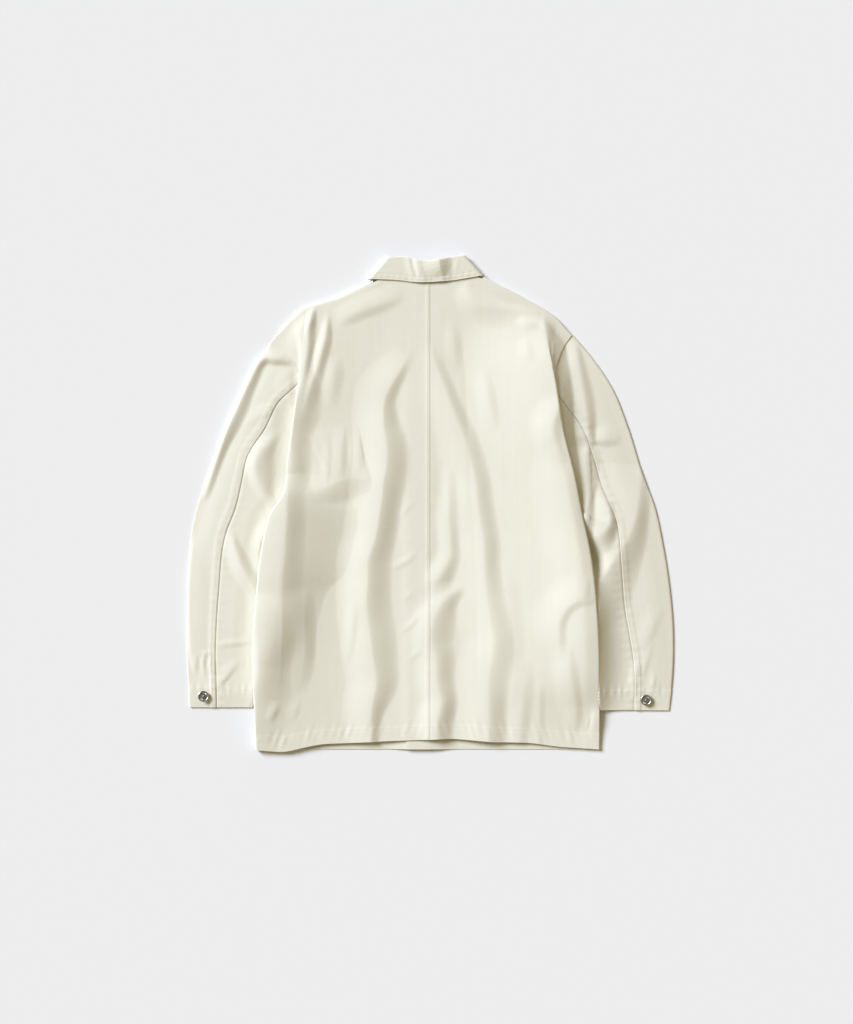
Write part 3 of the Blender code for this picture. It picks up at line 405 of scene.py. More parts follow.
RIGHT_SLEEVE_FOLDS = {
    "armhole_ridge": (
        0.3, (226, 275, 0, 90, 8), (230, 256, 3, 140, 9), (236, 230, 3.4, 180, 11),
        (241, 198, 4.6, 200, 15), (246, 166, 5.4, 200, 18), (250, 134, 5.8, 200, 17),
        (253, 109, 5.5, 200, 13), (254, 93, 1.5, 120, 10)),
    "elbow_ridge": (
        0.4, (251, 98, 0, 90, 10), (247, 78, 6, 160, 24), (248, 54, 7, 180, 24), (250, 30, 6.4, 180, 20),
        (252, 10, 5.5, 180, 12), (248, -13, 7, 160, 16), (244, -32, 7.5, 120, 18), (240, -51, 5, 80, 18),
        (237, -70, 0, 40, 12)),
    "body_gap": (
        0.3, (253, -59, 0, 6, 8), (258, -78, -3, 6, 12), (262, -99, -3, 6, 12), (267, -122, 0, 6, 8)),
    "elbow_star": (
        0.2, (307, 104, 0, 20, 8), (291, 102, 1.6, 26, 12), (277, 102, 3, 26, 13), (262, 101, 2.5, 20, 8),
        (256, 99, 0, 12, 6)),
    "elbow_hook": (
        0.4, (262, 38, 0, 60, 8), (272, 16, 1.6, 160, 9), (282, -3, 4, 240, 11), (286, -18, 5.6, 280, 11),
        (286, -32, 7.4, 240, 15), (277, -43, 9, 160, 26), (267, -51, 8, 90, 32), (258, -58, 4, 50, 30),
        (250, -62, 0, 30, 20)),
    "forearm_ridge": (
        0.45, (338, 61, 0, 200, 10), (336, 35, 2.4, 240, 13), (333, 6, 5, 300, 20),
        (326, -26, 7.4, 300, 25), (314, -58, 9.5, 200, 34), (293, -90, 11, 48, 48),
        (274, -122, 10.5, 40, 54), (266, -144, 8, 40, 56), (262, -170, 4.5, 40, 50),
        (259, -198, 0, 30, 40)),
    "forearm_pleat": (
        0.0, (370, -163, 0, 20, 10), (357, -189, 0.9, 24, 14), (344, -218, 1, 24, 14),
        (334, -243, 0, 18, 10)),
    "wrist_fold_1": (
        0.1, (355, -218, 0, 12, 8), (346, -246, 1, 14, 9), (339, -275, 0.8, 12, 8), (338, -294, 0, 10, 6)),
    "wrist_fold_2": (
        0.1, (336, -237, 0, 10, 6), (330, -262, 1.3, 12, 8), (326, -288, 1.2, 12, 8), (325, -314, 0, 8, 6)),
    "cuff_pucker_1": (0.2, (360, -269, 0, 6, 5), (357, -285, 0.9, 7, 5), (358, -307, 0, 6, 5)),
}
# how the right sleeve falls away from the side fold that lies on it
RIGHT_SLEEVE_FALL = {
    "armhole_fall": (
        0.9, (183, 299, 3, 4, 14), (185, 280, 8, 4, 23), (188, 256, 14, 4, 27), (191, 227, 18, 4, 29),
        (195, 195, 20.5, 4, 30), (200, 165, 20.5, 4, 29), (206, 134, 18.5, 4, 24), (214, 102, 15, 4, 17),
        (222, 72, 12, 4, 14), (230, 42, 6, 3, 10), (235, 19, 0, 3, 8)),
    "cuff_fall": (
        2.6, (251, -90, 0, 3, 20), (257, -112, 3, 3, 30), (262, -138, 9, 4, 50), (265, -163, 16, 4, 60),
        (267, -194, 20, 4, 62), (268, -234, 20.5, 4, 62), (268, -274, 18, 4, 58), (269, -307, 12, 3, 50),
        (270, -326, 8, 3, 44), (270, -342, 5, 3, 40)),
}
COLLAR_FOLDS = {
    "back_crease": (0.2, (-21, 397, 3.6, 24, 46), (-16, 378, 4.4, 26, 48), (-10, 355, 2, 22, 40)),
    "right_shade": (0.6, (13, 397, 6.4, 26, 20), (16, 378, 7.2, 26, 20), (21, 363, 2.6, 20, 16)),
    "back_dent": (
        0.2, (-29, 397, -1.2, 6, 6), (-27, 381, -1.6, 6, 7), (-22, 365, -1, 5, 6), (-18, 354, 0, 4, 5)),
    "right_pucker": (0.2, (46, 394, 0, 5, 5), (43, 382, 0.4, 6, 6), (40, 370, 0, 5, 5)),
}


def profile(t, crisp):
    """Slope of a fold from its line, where it is 1, to its foot, where it is 0."""
    t = np.clip(t, 0, 1)
    return (1 - t) ** crisp if crisp > 1 else 1 - ((1 - crisp) * ease(t) + crisp * t)


def fold_height(x, y, folds, finer=3):
    """Sum of the ridges and troughs, each a soft slope either side of its line."""
    total = np.zeros_like(x)
    for crisp, *rows in folds.values():
        rows = np.array(rows, float)
        station = np.arange(len(rows), dtype=float)
        at = np.linspace(0, len(rows) - 1, finer * (len(rows) - 1) + 1)
        data = np.stack([smooth_read(station, column, at) for column in rows.T], axis=-1)
        reach = data[:, LIT:].max() + 1
        near = ((x > data[:, X].min() - reach) & (x < data[:, X].max() + reach)
                & (y > data[:, Y].min() - reach) & (y < data[:, Y].max() + reach))
        px, py = x[near], y[near]
        best = np.full(px.shape, 1e9)
        lift = np.zeros_like(px)
        for start, end in zip(data[:-1], data[1:]):
            run = end[:HEIGHT] - start[:HEIGHT]
            off_x, off_y = px - start[X], py - start[Y]
            share = np.clip((off_x * run[X] + off_y * run[Y]) / (run @ run), 0, 1)
            off_x, off_y = off_x - share * run[X], off_y - share * run[Y]
            away = np.hypot(off_x, off_y)
            height, lit, shade = (start[i] + share * (end[i] - start[i]) for i in (HEIGHT, LIT, SHADE))
            in_light = run[X] * off_y - run[Y] * off_x < 0
            nearer = away < best
            best = np.where(nearer, away, best)
            slope = height * profile(away / np.where(in_light, lit, shade), crisp)
            lift = np.where(nearer, slope, lift)
        total[near] += lift
    return total * bpy.context.scene.jacket_folds.depth


# ---- outlines ---------------------------------------------------------------------------------------
class Side:
    """One half of the jacket; sign is -1 for the wearer's left and 1 for the right.

    side_height is the back's height along its side fold.  side_rise says where the back begins to rise to
    it, over how much more of its half width, and how softly.  edge_share is the place along the shoulder
    where that fold runs out, front_edge the lapped edge of the front.  crown is how much fuller the sleeve
    lies along its middle, and rim how fast its outer fold rises.
    """

    def __init__(self, sign, word, **facts):
        self.sign = sign
        self.word = word
        self.__dict__.update(facts)

    def reach(self, edge, y):
        """How far out from the centre one of its edges lies at y."""
        knots = getattr(self, edge).points
        knots = knots if knots[0, 1] < knots[-1, 1] else knots[::-1]
        return self.sign * smooth_read(knots[:, 1], knots[:, 0], y)


LEFT = Side(
    -1, "left",
    hem=Path((0, -376), (-72, -379), (-138, -382), (-176, -384), (-203, -389), (-230, -395), (-278, -393)),
    fold_edge=Path((-278, -393), (-280, -333), (-283, -226), (-277, -150), (-272, -98), (-264, -50),
                   (-253, -13), (-237, 10), (-227, 74), (-219, 131), (-208, 218), (-205, 254), (-200, 309)),
    side_seam=Path((-258, -392), (-258, -226), (-250, -120), (-228, -50), (-172, 46)),
    back_armhole=Path((-172, 46), (-190, 66), (-199, 110), (-202, 165), (-211, 218), (-229, 250),
                      (-241, 270)),
    front_armhole=Path((-172, 46), (-186, 62), (-192, 100), (-192, 145), (-197, 195), (-212, 238)),
    neck=Path((0, 362), (-45, 362), (-75, 361), (-90, 354)),
    shoulder=Path((-90, 354), (-109, 344), (-141, 328), (-171, 319), (-184, 315), (-200, 309),
                  (-219, 295), (-241, 270)),
    front_neck=Path((2, 284), (-30, 288), (-58, 300), (-76, 322), (-88, 345)),
    sleeve_outer=Path((-244.3, 272), (-280, 222), (-301, 179), (-328, 115), (-349, 67), (-368, 10),
                      (-381, -45), (-387, -118), (-389, -226), (-384, -325)),
    sleeve_inner=Path((-172, 46), (-171, -30), (-188, -110), (-222, -200), (-258, -270), (-284, -325)),
    collar_seam=Path((0, 362.6), (-45, 362.6), (-72, 363.5), (-85, 362)),
    collar_crest=Path((0, 388), (-27, 391), (-42, 395), (-69, 394)),
    collar_edge=Path((0, 354), (-24, 354), (-53, 357), (-99, 359)),
    hindarm=Table(("down", "girth"), (0.0, 0.34), (0.075, 0.285), (0.12, 0.25), (0.2, 0.235), (0.3, 0.195),
                  (0.37, 0.23), (0.43, 0.25), (0.51, 0.24), (0.63, 0.265), (0.82, 0.325), (1.0, 0.425)),
    side_height=Table(("y", "height"), (-393, 8), (-335, 13), (-226, 17), (-100, 18), (-20, 16), (60, 12),
                      (131, 10.5), (218, 10), (262, 9.5), (309, 7.5)),
    side_rise=(0.42, 0.56, 1.0),
    edge_share=0.66,
    front_edge=2.0,
    crown=2.2,
    rim=0.0,
    sleeve_folds=LEFT_SLEEVE_FOLDS,
    sleeve_fall={},
)
RIGHT = Side(
    1, "right",
    hem=Path((0, -376), (29, -375), (64, -377), (102, -380), (162, -382), (200, -387), (270, -392)),
    fold_edge=Path((270, -392), (270, -306), (269, -226), (266, -173), (261, -118), (253, -66),
                   (241.5, -13), (229, 51), (213, 115), (199, 202), (186, 262), (178, 309)),
    side_seam=Path((250, -392), (250, -226), (241, -120), (218, -50), (164, 46)),
    back_armhole=Path((164, 46), (181, 66), (189, 110), (192, 165), (199, 215), (211, 247), (225, 268)),
    front_armhole=Path((164, 46), (177, 62), (183, 100), (182, 145), (186, 195), (198, 235)),
    neck=Path((0, 362), (40, 363), (68, 365), (84, 360)),
    shoulder=Path((84, 360), (108, 347), (148, 326), (184, 306), (205, 289), (225, 268)),
    front_neck=Path((-38, 284), (24, 288), (52, 300), (70, 322), (82, 350)),
    sleeve_outer=Path((228.2, 270.3), (259, 234), (291, 186), (317, 122), (339, 51), (360, -6), (373, -66),
                      (383, -130), (388.8, -198), (388, -269), (382, -330)),
    sleeve_inner=Path((164, 46), (163, -30), (181, -110), (214, -200), (248, -270), (268, -329)),
    collar_seam=Path((0, 362.6), (38, 363.6), (64, 367.5), (80, 366)),
    collar_crest=Path((0, 388), (14, 390), (40, 395), (56, 397)),
    collar_edge=Path((0, 354), (40, 357), (67, 361), (85, 364)),
    hindarm=Table(("down", "girth"), (0.0, 0.38), (0.095, 0.34), (0.13, 0.32), (0.27, 0.295), (0.34, 0.305),
                  (0.44, 0.29), (0.56, 0.355), (0.69, 0.425), (0.88, 0.455), (1.0, 0.487)),
    side_height=Table(("y", "height"), (-393, 4), (-360, 5.5), (-330, 10), (-290, 20), (-226, 27.5),
                      (-100, 27.5), (-20, 26), (60, 28), (131, 31), (190, 31), (230, 28), (262, 21),
                      (290, 14), (306, 9)),
    side_rise=(0.28, 0.70, 0.4),
    edge_share=0.63,
    front_edge=-38.0,
    crown=0.6,
    rim=14.0,
    sleeve_folds=RIGHT_SLEEVE_FOLDS,
    sleeve_fall=RIGHT_SLEEVE_FALL,
)
SIDES = (LEFT, RIGHT)


# ---- heights of the layers --------------------------------------------------------------------------
# start and width of the slopes by which one layer climbs on to another
SLEEVE_ASIDE = (-24, 20)         # the fronts on to a sleeve, out from its inner edge
SLEEVE_BELOW = (142, -40)        # the same slope's upper end, up the jacket
SLEEVE_ABOVE = (-390, 58)        # and its lower end
LEAF_ABOVE = (212, 18)           # the fronts on to the collar's leaves
LEAF_ASIDE = (118, -16)
BUTTONS_BELOW = (300, -20)       # the closed front on to its buttons
FRONT_LAP = (46, -34)            # the right front on to the left one
BACK_LAP = (-86, 48)             # the back on to that lap
ARMHOLE_ABOVE = (40, 40)         # the back on to the sleeve, up the armhole
ARMHOLE_ASIDE = (-12, 10)
SHOULDER_ASIDE = (95, 90)        # the roll over the shoulder on to the sleeve
TIP_ASIDE = (190, 36)


def half_wall():
    """Half the cloth's thickness, in millimetres."""
    return bpy.context.scene.jacket_cloth.wall / MM / 2


def over_sleeve():
    """Middle of a layer that lies on a sleeve."""
    return half_wall() + 2 * SLEEVE_ROLL + 2.0


def floor_layer(side, x, y):
    """Middle of the fronts, the lowest layer of the body."""
    beside = slope(side.sign * x - side.reach("sleeve_inner", y), *SLEEVE_ASIDE)
    along = slope(y, *SLEEVE_BELOW) * slope(y, *SLEEVE_ABOVE)
    on_sleeve = (over_sleeve() - half_wall()) * beside * along
    near_neck = slope(y, *LEAF_ABOVE) * slope(np.abs(x), *LEAF_ASIDE)
    over_collar = (COLLAR_TURN + 0.2) * near_neck
    aside = np.abs(x - CENTRE_FRONT) - PLACKET_HALF
    over_buttons = PLACKET_RISE * ease(1 - aside / PLACKET_SLOPE) * slope(y, *BUTTONS_BELOW)
    return half_wall() + np.maximum(on_sleeve, np.maximum(over_collar, over_buttons))


def shoulder_height(x):
    """Top of the roll over the shoulder, from the neck to the armhole."""
    return (NECK_HEIGHT + (over_sleeve() - NECK_HEIGHT) * slope(np.abs(x), *SHOULDER_ASIDE)
            - TIP_DROP * slope(np.abs(x), *TIP_ASIDE))


def top_reach(side, x):
    """Plan line of the neck and shoulder, as a height for each x."""
    line = np.concatenate((side.neck.points, side.shoulder.points[1:]))
    order = np.argsort(line[:, 0])
    return smooth_read(line[order, 0], line[order, 1], x)


def back_height(side, x, y):
    """Middle of the back panel above the floor."""
    edge = side.reach("fold_edge", y)
    side_height = side.side_height.at("height", y)
    start, width, softness = side.side_rise
    out = np.clip((side.sign * x / edge - start) / width, 0, 1)
    outward = softness * ease(out) + (1 - softness) * out
    body = LOFT + (side_height - LOFT) * outward + fold_height(x, y, BACK_FOLDS)
    seam = np.where(y < UNDERARM_Y, side.reach("side_seam", y), side.reach("back_armhole", y))
    strip = slope(side.sign * x - seam, *ARMHOLE_ASIDE)
    high = slope(y, *ARMHOLE_ABOVE) * strip
    lap = (LAYER + 0.5) * slope(x, *FRONT_LAP) * slope(x, *BACK_LAP)
    under = floor_layer(side, x, y) + LAYER * (1 + strip) + 0.3 + lap
    under = under + (over_sleeve() + LAYER - under) * high
    gap = body - under
    body = under + 0.5 * (gap + np.sqrt(gap * gap + 2.0))      # never below it, with a soft landing
    down = top_reach(side, x) - y
    blended = shoulder_height(x) + (body - shoulder_height(x)) * ease(down / (120 - 94 * outward))
    return blended + fold_height(x, y, SHOULDER_FOLDS) * ease(down / 8)


# ---- the back ---------------------------------------------------------------------------------------
def shoulder_point(side, share):
    """A point of the shoulder line and the plan direction out of it."""
    point = side.shoulder.at(share)
    step = side.shoulder.at(np.minimum(share + 0.01, 1.0)) - side.shoulder.at(np.maximum(share - 0.01, 0.0))
    step /= np.linalg.norm(step, axis=-1, keepdims=True)
    out = pair(-step[..., 1], step[..., 0])
    return point, out * np.sign(out[..., 1:2])


def back_top_edge(side, across):
    """The back's upper edge: the neck, then the shoulder as far as the side fold."""
    neck = side.neck.at(across / NECK_SHARE)
    shoulder = side.shoulder.at(side.edge_share * (across - NECK_SHARE) / (1 - NECK_SHARE))
    return np.where((across <= NECK_SHARE)[..., None], neck, shoulder)


def seam_line(side, up):
    """Side seam from the hem to the underarm, then the back armhole up to the shoulder."""
    low = side.side_seam.at(up / UNDERARM_SHARE)
    high = side.back_armhole.at((up - UNDERARM_SHARE) / (1 - UNDERARM_SHARE))
    return np.where((up <= UNDERARM_SHARE)[..., None], low, high)


def flap_height(side, up):
    """Middle of the strip that the back folds under, or out to the armhole."""
    seam = seam_line(side, up)
    edge = side.fold_edge.at(up)
    upper = ease((up - 0.64) / 0.08)
    lying = np.maximum(floor_layer(side, seam[..., 0], seam[..., 1]),
                       floor_layer(side, edge[..., 0], edge[..., 1])) + LAYER + 0.6
    on_sleeve = over_sleeve() + fold_height(seam[..., 0], seam[..., 1], side.sleeve_fall)
    return lying + (on_sleeve - lying) * upper - TIP_DROP * ease((up - 0.93) / 0.07)


def side_roll(side, up):
    """Radius of the side fold."""
    edge = side.fold_edge.at(up)
    rise = side.side_height.at("height", edge[..., 1]) - flap_height(side, up)
    return np.clip(rise / 2, 0.4, FOLD_TURN)


def back_main(side, across, up):
    """Plan point of the part of the back that lies on top."""
    sign = side.sign

    def fold_start(share):
        edge = side.fold_edge.at(share)
        return edge - pair(sign * side_roll(side, share), np.zeros_like(share))

    def centre(share):
        return pair(np.full_like(share, sign * SEAM / 2), CENTRE_HEM_Y + share * BACK_LENGTH)

    point = patch(side.hem.at, partial(back_top_edge, side), centre, fold_start, across, up)
    point[..., 0] = sign * np.maximum(sign * point[..., 0], SEAM / 2)
    return point


def side_fold(side, across, rise):
    """Point of the side fold (across 1..2) and of the strip beyond it (2..3): the fold turns under the body,
    and outwards where the shoulder begins."""
    sign = side.sign
    main = back_main(side, np.ones_like(rise), rise)
    height = back_height(side, main[..., 0], main[..., 1])
    start = lifted(main, height)
    roll = side_roll(side, rise)
    seam = seam_line(side, rise)
    span = sign * (seam[..., 0] - main[..., 0])
    low = flap_height(side, rise)
    fall = (height - low) * (1 - ease(-span / 12))
    reach = 0.6 * np.maximum(span, 0)
    turn_x = main[..., 0] + sign * reach
    turn_y = main[..., 1] + (seam[..., 1] - main[..., 1]) * 0.3
    round_bow = 4 / 3 * roll * ease((6 - span) / 12)
    hook = 4 / 3 * roll * ease(-span / 10)
    level = np.zeros_like(roll)
    t = np.clip(across - 1, 0, 1)[..., None]
    second = start + np.stack([sign * (round_bow + reach / 2), level, level], axis=-1)
    end = lifted(pair(turn_x, turn_y), low + 0.4 * fall)
    third = end + np.stack([sign * (hook - reach / 2), level, 0.3 * fall], axis=-1)
    curve = (1 - t) ** 3 * start + 3 * t * (1 - t) ** 2 * second + 3 * t * t * (1 - t) * third + t ** 3 * end
    t = np.clip(across - 2, 0, 1)[..., None]
    return np.where((across < 2)[..., None], curve, end + (lifted(seam, low) - end) * t)


def back_place(side, across, up):
    """Point of the back; across 0..1 lies on top, 1..2 is the side fold and 2..3 the strip beyond it.
    up 0..1 is hem to shoulder, 1..2 turns over the shoulder and 2..3 is the strip below it."""
    rise = np.minimum(up, 1.0)
    main = back_main(side, np.minimum(across, 1.0), rise)
    height = back_height(side, main[..., 0], main[..., 1])
    edge_share = side.edge_share
    along = edge_share + (1 - edge_share) * np.clip((across - 1) / 2, 0, 1)
    folded = side_fold(side, across, rise)
    off = side.shoulder.at(along) - side_fold(side, across, np.ones_like(rise))[..., :2]
    folded[..., :2] += off * ease((rise - 0.9) / 0.1)[..., None]
    point = np.where((across > 1)[..., None], folded, lifted(main, height))

    # over the shoulder
    past_neck = np.clip((across - NECK_SHARE) / (1 - NECK_SHARE), 0, 1)
    share = np.where(across <= 1, edge_share * past_neck, along)
    base, out = shoulder_point(side, share)
    top = shoulder_height(base[..., 0])
    under = base - out * SHOULDER_TURN
    bottom = floor_layer(side, under[..., 0], under[..., 1])
    radius = (top - bottom) / 2
    angle = np.pi * np.clip(up - 1, 0, 1)
    reach = radius * (1 - (1 - np.sin(angle)) ** 3) - SHOULDER_TURN * np.clip(up - 2, 0, 1)
    plan = base + out * reach[..., None]
    turned = lifted(plan, bottom + radius * (1 + np.cos(angle)))
    return np.where((up > 1)[..., None], turned, point)


def uneven(at, pitch, seed):
    """A soft wave of uneven steps between -1 and 1, for puckers along a seam."""
    start, span = -500, 1200
    draw = np.random.default_rng(seed)
    count = int(span / pitch)
    knots = (np.arange(count) + draw.uniform(-0.3, 0.3, count)) * pitch + start
    values = np.where(np.arange(count) % 2 == 0, 1, -1) * draw.uniform(0.25, 1.0, count)
    return smooth_read(knots, values, at)


def ridge(away, width):
    """1 on a line and 0 some widths away from it."""
    return np.exp(-(away / width) ** 2)


def turned_band(above, depth, height):
    """Relief of a band that is turned under along an edge."""
    return height * (1 - ease((above - depth) / 1.5))


def back_relief(side, across, up, point):
    """Hem, seam and puckers of the back, in millimetres above its smooth surface."""
    x, y = point[..., 0], point[..., 1]
    hem_x, hem_y = side.hem.points.T
    above = y - np.interp(side.sign * x, side.sign * hem_x, hem_y)
    on_top = across <= 1.5
    band = turned_band(above, BACK_HEM, 0.45)
    sewn = -0.35 * ridge(above - BACK_HEM + 2, 1.1)
    pucker = bpy.context.scene.jacket_folds.pucker / MM
    slant = x + 0.35 * side.sign * above
    wave = 0.6 * uneven(slant, 6.5, 3 + side.sign) + 0.4 * uneven(x, 11.0, 7 + side.sign)
    wave = wave * (0.55 + 0.45 * uneven(x, 26.0, 13 + side.sign))
    puckers = pucker * wave * ridge(above - BACK_HEM + 3, 13.0)
    groove = -0.12 * ridge(x, 0.6)
    fell = turned_band(-x, 5.5, 0.35) if side is LEFT else 0.0
    return np.where(on_top, band + sewn + puckers, band) + groove + fell * (across < 1)


# ---- the fronts -------------------------------------------------------------------------------------
def front_place(side, across, up):
    """Point of a front; across 0..1 spans the neck and 1..2 the shoulder, up 0..1 is hem to top."""
    sign = side.sign
    neck, shoulder = FRONT_NECK_SHARE, 1 - FRONT_NECK_SHARE
    f = np.where(across < 1, across * neck, neck + (across - 1) * shoulder)

    def top(share):
        low = side.front_neck.at(share / neck)
        base, out = shoulder_point(side, np.clip((share - neck) / shoulder, 0, 1))
        return np.where((share <= neck)[..., None], low, base - out * (SHOULDER_TURN + SEAM))

    def outer(share):
        above = share - UNDERARM_SHARE
        low = side.side_seam.at(share / UNDERARM_SHARE) - (sign * SEAM, 0.0)
        high = Path(*side.front_armhole.points, top(np.array(1.0))).at(above / (1 - UNDERARM_SHARE))
        return low + (high - low) * ease((above + 0.06) / 0.12)[..., None]

    def hem(share):
        end = side.side_seam.points[0, 0] - sign * SEAM
        return pair(side.front_edge + share * (end - side.front_edge), HEM_Y + 0 * share)

    def centre(share):
        top_y = side.front_neck.points[0, 1]
        return pair(side.front_edge + 0 * share, HEM_Y + share * (top_y - HEM_Y))

    plan = patch(hem, top, centre, outer, f, up)
    height = floor_layer(side, plan[..., 0], plan[..., 1])
    if sign > 0:
        height = height + (LAYER + 0.5) * slope(plan[..., 0], *FRONT_LAP)
    return lifted(plan, height)


def front_relief(side, across, up, point):
    """Stitched edges of a front; it lies face down, so only its wrong side is raised."""
    aside = side.sign * (point[..., 0] - side.front_edge)
    return np.maximum(turned_band(point[..., 1] - HEM_Y, BACK_HEM, 0.25), turned_band(aside, FACING, 0.25))


# ---- the sleeves ------------------------------------------------------------------------------------
def sleeve_place(side, girth, down):
    """Point of a sleeve's tube; girth 0 is the outer fold, 1 the inner fold over the top, -1 under the
    floor side; down is 0 at the armhole and 1 at the cuff."""
    outer, inner = side.sleeve_outer.at(down), side.sleeve_inner.at(down)
    width = np.linalg.norm(outer - inner, axis=-1)
    quarter = np.pi * SLEEVE_ROLL / 2
    half_round = width - 2 * SLEEVE_ROLL + 2 * quarter
    gone = np.abs(girth) * half_round
    left = half_round - gone
    across = np.where(gone < quarter, SLEEVE_ROLL * (1 - np.cos(gone / SLEEVE_ROLL)),
                      np.where(left < quarter, width - SLEEVE_ROLL * (1 - np.cos(left / SLEEVE_ROLL)),
                               SLEEVE_ROLL + gone - quarter))
    turn = np.sin(np.clip(np.minimum(gone, left), 0, quarter) / SLEEVE_ROLL)
    share = across / width

    tip = side.sleeve_outer.points[0]

    def armhole_over(f):
        tuck = side.sign * -ARMHOLE_LAP * ease(f / 0.12) * ease((1 - f) / 0.1)
        return Path(*side.back_armhole.points, tip).at(1 - f) + pair(tuck, 0 * f)

    def armhole_under(f):
        base, out = shoulder_point(side, np.array(1.0))
        line = Path(*side.front_armhole.points, base - out * (SHOULDER_TURN + SEAM), tip).at(1 - f)
        return line + pair(side.sign * 1.6 * ease(f / 0.04) * ease((1 - f) / 0.04), 0 * f)

    def cuff(f):
        ends = side.sleeve_outer.points[-1], side.sleeve_inner.points[-1]
        return ends[0] + (ends[1] - ends[0]) * f[..., None]

    def tube(mouth):
        return patch(mouth, cuff, side.sleeve_outer.at, side.sleeve_inner.at, share, down)

    plan = np.where((girth >= 0)[..., None], tube(armhole_over), tube(armhole_under))
    flat = 0.28 + 0.72 * ease((gone + side.rim) / 55) * ease((1.02 - down) / 0.1)
    height = half_wall() + flat * SLEEVE_ROLL * (1 + np.where(girth >= 0, 1, -1) * turn)
    clear = side.sign * plan[..., 0] - side.reach("fold_edge", plan[..., 1])
    beside = ease((clear + 6) / 8)
    shown = beside * ease(down / 0.06) * ease((1.02 - down) / 0.1)
    crown = side.crown * ease((clear - 10) / 26) * ease(gone / 30)
    crown = crown * ease(down / 0.12) * ease((0.93 - down) / 0.2)
    x, y = plan[..., 0], plan[..., 1]
    folds = fold_height(x, y, side.sleeve_folds) * shown + fold_height(x, y, side.sleeve_fall)
    return lifted(plan, height + np.where(girth >= 0, crown + folds, 0.0) * turn)


def top_sleeve_place(side, across, down):
    """Point of the top sleeve; across 0..1 is hindarm seam to outer fold, 1..2 on to the forearm seam."""
    seam = side.hindarm.at("girth", down) - SEAM_GIRTH
    end = FOREARM_GIRTH + SEAM_GIRTH
    return sleeve_place(side, np.where(across < 1, seam * (1 - across), end * (across - 1)), down)


def under_sleeve_place(side, across, down):
    """Point of the under sleeve; across 0..1 is hindarm seam to inner fold, 1..2 on to the forearm seam."""
    seam = side.hindarm.at("girth", down) + SEAM_GIRTH
    end = FOREARM_GIRTH - SEAM_GIRTH
    girth = np.where(across < 1, seam + (1 - seam) * across, -1 + (1 + end) * (across - 1))
    return sleeve_place(side, girth, down)


def cuff_share(side, girth, above):
    """How far down a sleeve a height above its cuff lies."""
    outer, inner = side.sleeve_outer.length, side.sleeve_inner.length
    return 1 - above / (outer + (inner - outer) * girth)


def sleeve_relief(side, girth, down, point, from_seam, felled):
    """Felled hindarm seam, turned cuff hem and their puckers on a sleeve piece."""
    above = (1 - down) / (1 - cuff_share(side, girth, 1.0))
    band = turned_band(above, CUFF_HEM, 0.45)
    sewn = -0.3 * ridge(above - CUFF_HEM + 2, 1.1)
    puckers = 0.35 * uneven(point[..., 0], 6.0, 11 + side.sign) * ridge(above - CUFF_HEM, 9.0)
    vent = ease((VENT - above) / 6)
    groove = -0.7 * ridge(from_seam, 0.9 + 0.5 * vent)
    fell = turned_band(from_seam, FELL, 0.4 + 0.6 * vent) if felled else 0.0
    drag = 0.3 * uneven(above, 7.0, 23 + side.sign) * ridge(from_seam - 6, 7.0)
    return band + sewn + puckers + groove + fell + drag


def lying_width(down):
    """Width of a lying sleeve, down its length."""
    return SLEEVE_HALF * (SLEEVE_TAPER[0] - SLEEVE_TAPER[1] * down)


def top_sleeve_relief(side, across, down, point):
    seam = side.hindarm.at("girth", down)
    share = np.minimum(across, 1)
    from_seam = share * seam * lying_width(down)
    return sleeve_relief(side, seam * (1 - share), down, point, from_seam, True) * (across < 1)


def under_sleeve_relief(side, across, down, point):
    seam = side.hindarm.at("girth", down)
    share = np.minimum(across, 1)
    from_seam = share * (1 - seam) * lying_width(down)
    return sleeve_relief(side, seam + (1 - seam) * share, down, point, from_seam, False) * (across < 0.9)


# ---- the collar -------------------------------------------------------------------------------------
COLLAR_TOP = NECK_HEIGHT + COLLAR_TURN
COLLAR_ENDS = {"seam": (15, 290.5), "crest": (16, 303), "edge": (60, 236)}      # from the centre front


def collar_level(line, end, sign, along, inset):
    """Plan line of one level of the collar: the back, then the leaf under the front."""
    corner = line.points[-1] - (sign * inset, 0)
    share = np.clip(along, 0, 1)
    back = line.at(share) - pair(sign * inset * ease(share), 0 * share)
    tip = np.array([CENTRE_FRONT + sign * end[0], end[1]])
    bend = corner + (tip - corner) * (0.15, 0.45)
    leaf = Path(corner, bend, tip).at(np.clip(along - 2, 0, 1))
    return np.where((along > 2)[..., None], leaf, back)


def collar_place(side, along, turn):
    """Point of half the collar; along 0..1 is the back, 1..2 the bend at the neck's side and 2..3 the
    leaf under the front; turn 0..1 climbs the stand, 1..2 rolls over and 2..3 is the fall."""
    sign = side.sign
    big = (COLLAR_TOP - half_wall()) / 2
    seam, crest, edge = (collar_level(getattr(side, f"collar_{name}"), end, sign, along, big)
                         for name, end in COLLAR_ENDS.items())
    climb, over, fall = (np.clip(turn - k, 0, 1)[..., None] for k in (0, 1, 2))
    crest = crest + (seam - crest) * 0.06
    plan = seam + (crest - seam) * climb
    ahead = (crest - seam) / np.linalg.norm(crest - seam, axis=-1, keepdims=True)
    plan = plan + ahead * np.sin(np.pi * over) * COLLAR_TURN / 2
    plan = plan + (edge - plan) * fall
    depth = COLLAR_TURN * (1 + np.cos(np.pi * over[..., 0])) / 2
    bend = np.pi * np.clip(along - 1, 0, 1)
    radius = big - depth
    lift = fold_height(plan[..., 0], plan[..., 1], COLLAR_FOLDS) * ease(turn / 2) * (bend == 0)
    height = half_wall() + big + radius * np.cos(bend) + lift
    return lifted(plan + pair(sign * radius * np.sin(bend), 0 * bend), height)


